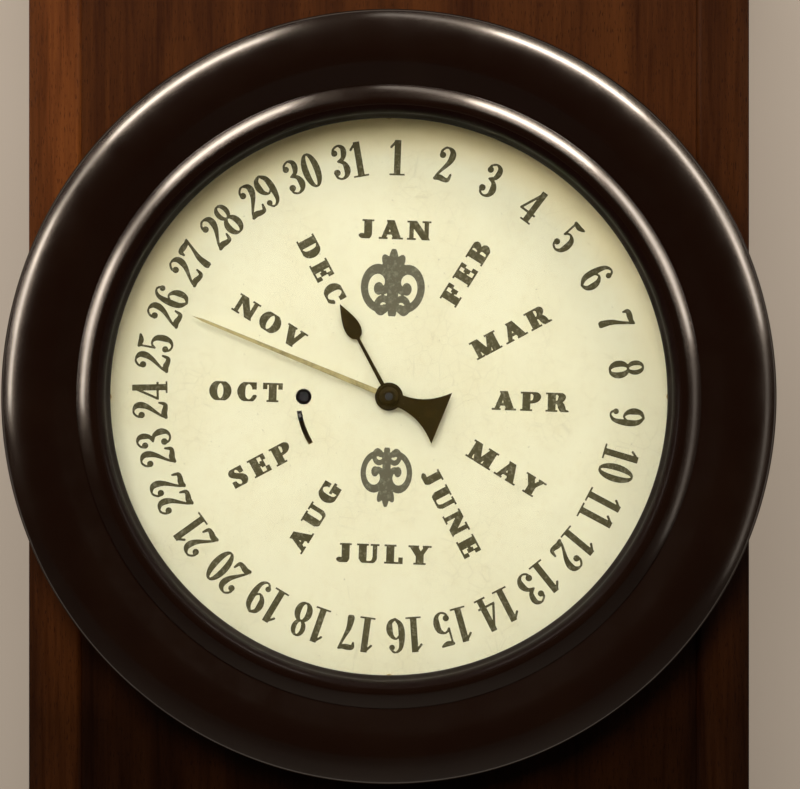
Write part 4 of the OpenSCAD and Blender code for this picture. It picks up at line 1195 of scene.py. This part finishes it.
def one_sided(name, tone, seen, share, foot, head):
    """Matt surface that is clear from behind, so that views from there aren't hidden; a share of what the
    eye sees of it is an even tone that glows, as in an evenly lit room, and its level goes from foot to
    head up the clock as painted light, brighter towards the top. Gloss sees that tone beside the clock and
    not in front of it."""
    f = Finish(name, {"Base Color": tone, "Roughness": 0.9, "Specular IOR Level": 0.1})
    place = f.along()
    level = f.ranged(place["Z"], -0.3, 0.3, foot, head)
    glow = f.add("Emission", {"Color": seen, "Strength": level}).outputs[0]
    room = shows_room(f, f.ranged(place["Y"], -0.9, -0.12, 0, 1))
    face = f.blend(f.math("MULTIPLY", room, share), f.shader.outputs[0], glow)
    behind = f.add("NewGeometry").outputs["Backfacing"]
    f.show("Material Output", f.blend(behind, face, f.add("BsdfTransparent").outputs[0]))
    return f.material


def room_light(s):
    """Even dim light on the clock; the eye, glass and gloss see a pale room, but for a dark brown part
    straight in front, which keeps the reflections in the black ring dark."""
    world = bpy.data.worlds.new("room")
    n = Nodes(world)
    n.tree.nodes.remove(n.tree.nodes["Background"])

    def background(tone, strength):
        return n.add("Background", {"Color": tone, "Strength": strength}).outputs[0]

    dim = n.blend(n.add("LightPath").outputs["Is Glossy Ray"], background((1.0, 0.94, 0.87), s.room),
                  background((1.0, 0.62, 0.38), s.front))
    way = n.add("SeparateXYZ", {0: n.add("TexCoord").outputs["Generated"]}).outputs["Y"]
    room = shows_room(n, n.ranged(way, -0.35, -0.05, 0, 1))
    n.show("World Output", n.blend(room, dim, background(s.backdrop, 1.0)))
    return world


def soft_lamp(name, place, aim, width, height, power, tint):
    """Rectangular lamp whose width lies across the line from the dial's middle to it."""
    data = bpy.data.lights.new(name, "AREA")
    data.shape = "RECTANGLE"
    data.size, data.size_y = width, height
    data.energy = power
    data.color = tint
    lamp = bpy.data.objects.new(name, data)
    bpy.context.scene.collection.objects.link(lamp)
    away = (Vector(place) - Vector(aim)).normalized()
    across = Vector((0, 1, 0)).cross(away).normalized()
    turn = Matrix((across, away.cross(across), away)).transposed()
    lamp.matrix_world = Matrix.Translation(place) @ turn.to_4x4()
    return lamp


class CLOCK_OT_stage(Operator):
    """Camera straight in front, a broad upper lamp, slim lamps for the polish, a back lamp, a pale wall and
    a floor"""
    bl_idname = "clock.stage"
    bl_label = "Stage"

    def execute(self, context):
        s = context.scene.clock_stage
        scene = context.scene
        opening = RING_BACK + SIGHT_DEPTH
        middle = Vector((0, -opening, 0))
        sensor = 36
        camera = bpy.data.objects.new("camera", bpy.data.cameras.new("camera"))
        scene.collection.objects.link(camera)
        camera.data.sensor_width = sensor
        camera.data.lens = sensor * s.distance / s.view_width
        camera.location = (s.view_across, -opening - s.distance, s.view_up)
        camera.rotation_euler = (math.pi / 2, 0, 0)
        scene.camera = camera

        main = soft_lamp("main_lamp", (-0.30, -1.95, 0.80), middle, width=1.2, height=0.9, power=s.lamp,
                         tint=(1.0, 0.98, 0.95))
        main.visible_glossy = False
        lean = math.radians(s.strip_lean)
        reach, strip_height, strip_tint = 1.6, 0.105, (1.0, 0.92, 0.84)
        aside = reach * math.sin(lean)
        for name, hour_angle, width, power in STRIPS:
            out, _ = outward(math.radians(hour_angle))
            away = Vector((out.x * aside, -reach * math.cos(lean), out.y * aside))
            strip = soft_lamp(name, middle + away, middle, width, strip_height, power, strip_tint)
            strip.visible_diffuse = False
        soft_lamp("back_lamp", (0.6, 2.2, 0.9), (0, 0, 0), width=1.2, height=1.2, power=30, tint=(1, 1, 1))

        wide, deep, drop, tall = 6.0, 5.0, 2.2, 5
        wall_y, floor = 0.0006, CAD_BOX[0].z - drop
        # The wall's glow is painted light, brighter towards the top of the clock.
        wall = sheet_object("pale_wall", [(-wide, wall_y, floor), (wide, wall_y, floor),
                                          (wide, wall_y, floor + tall), (-wide, wall_y, floor + tall)],
                            one_sided("pale_wall", s.wall, s.wall_tone, share=0.7, foot=0.78, head=1.22))
        wall.visible_shadow = False
        sheet_object("pale_floor", [(-wide, -deep, floor), (wide, -deep, floor), (wide, deep, floor),
                                    (-wide, deep, floor)],
                     one_sided("pale_floor", s.floor, s.backdrop, share=0.9, foot=1, head=1))
        scene.world = room_light(s)
        scene.view_settings.view_transform = "Standard"
        return {"FINISHED"}


class CLOCK_PT_panel(Panel):
    """Settings and steps of the clock's finish"""
    bl_idname = "CLOCK_PT_panel"
    bl_label = "Calendar clock"
    bl_space_type = "VIEW_3D"
    bl_region_type = "UI"
    bl_category = "Clock"

    def draw(self, context):
        for name, group in SETTINGS.items():
            box = self.layout.box()
            box.label(text=group.__doc__)
            for setting in group.__annotations__:
                box.prop(getattr(context.scene, name), setting)
        for step in STEPS:
            self.layout.operator(step.bl_idname)


SETTINGS = {"clock_case": ClockCaseSettings, "clock_door": ClockDoorSettings, "clock_dial": ClockDialSettings,
            "clock_metal": ClockMetalSettings, "clock_stage": ClockStageSettings}
STEPS = (CLOCK_OT_boards, CLOCK_OT_ring, CLOCK_OT_glass, CLOCK_OT_dial, CLOCK_OT_dates, CLOCK_OT_months,
         CLOCK_OT_ornaments, CLOCK_OT_hands, CLOCK_OT_movement, CLOCK_OT_fittings, CLOCK_OT_stage)


def register():
    for cls in (*SETTINGS.values(), *STEPS, CLOCK_PT_panel):
        bpy.utils.register_class(cls)
    for name, cls in SETTINGS.items():
        setattr(bpy.types.Scene, name, PointerProperty(type=cls))


def unregister():
    for name in SETTINGS:
        delattr(bpy.types.Scene, name)
    for cls in reversed((*SETTINGS.values(), *STEPS, CLOCK_PT_panel)):
        bpy.utils.unregister_class(cls)


def main():
    register()
    bpy.ops.clock.boards()
    bpy.ops.clock.ring()
    bpy.ops.clock.glass()
    bpy.ops.clock.dial()
    bpy.ops.clock.dates()
    bpy.ops.clock.months()
    bpy.ops.clock.ornaments()
    bpy.ops.clock.hands()
    bpy.ops.clock.movement()
    bpy.ops.clock.fittings()
    bpy.ops.clock.stage()
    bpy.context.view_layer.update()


if __name__ == "__main__":
    main()
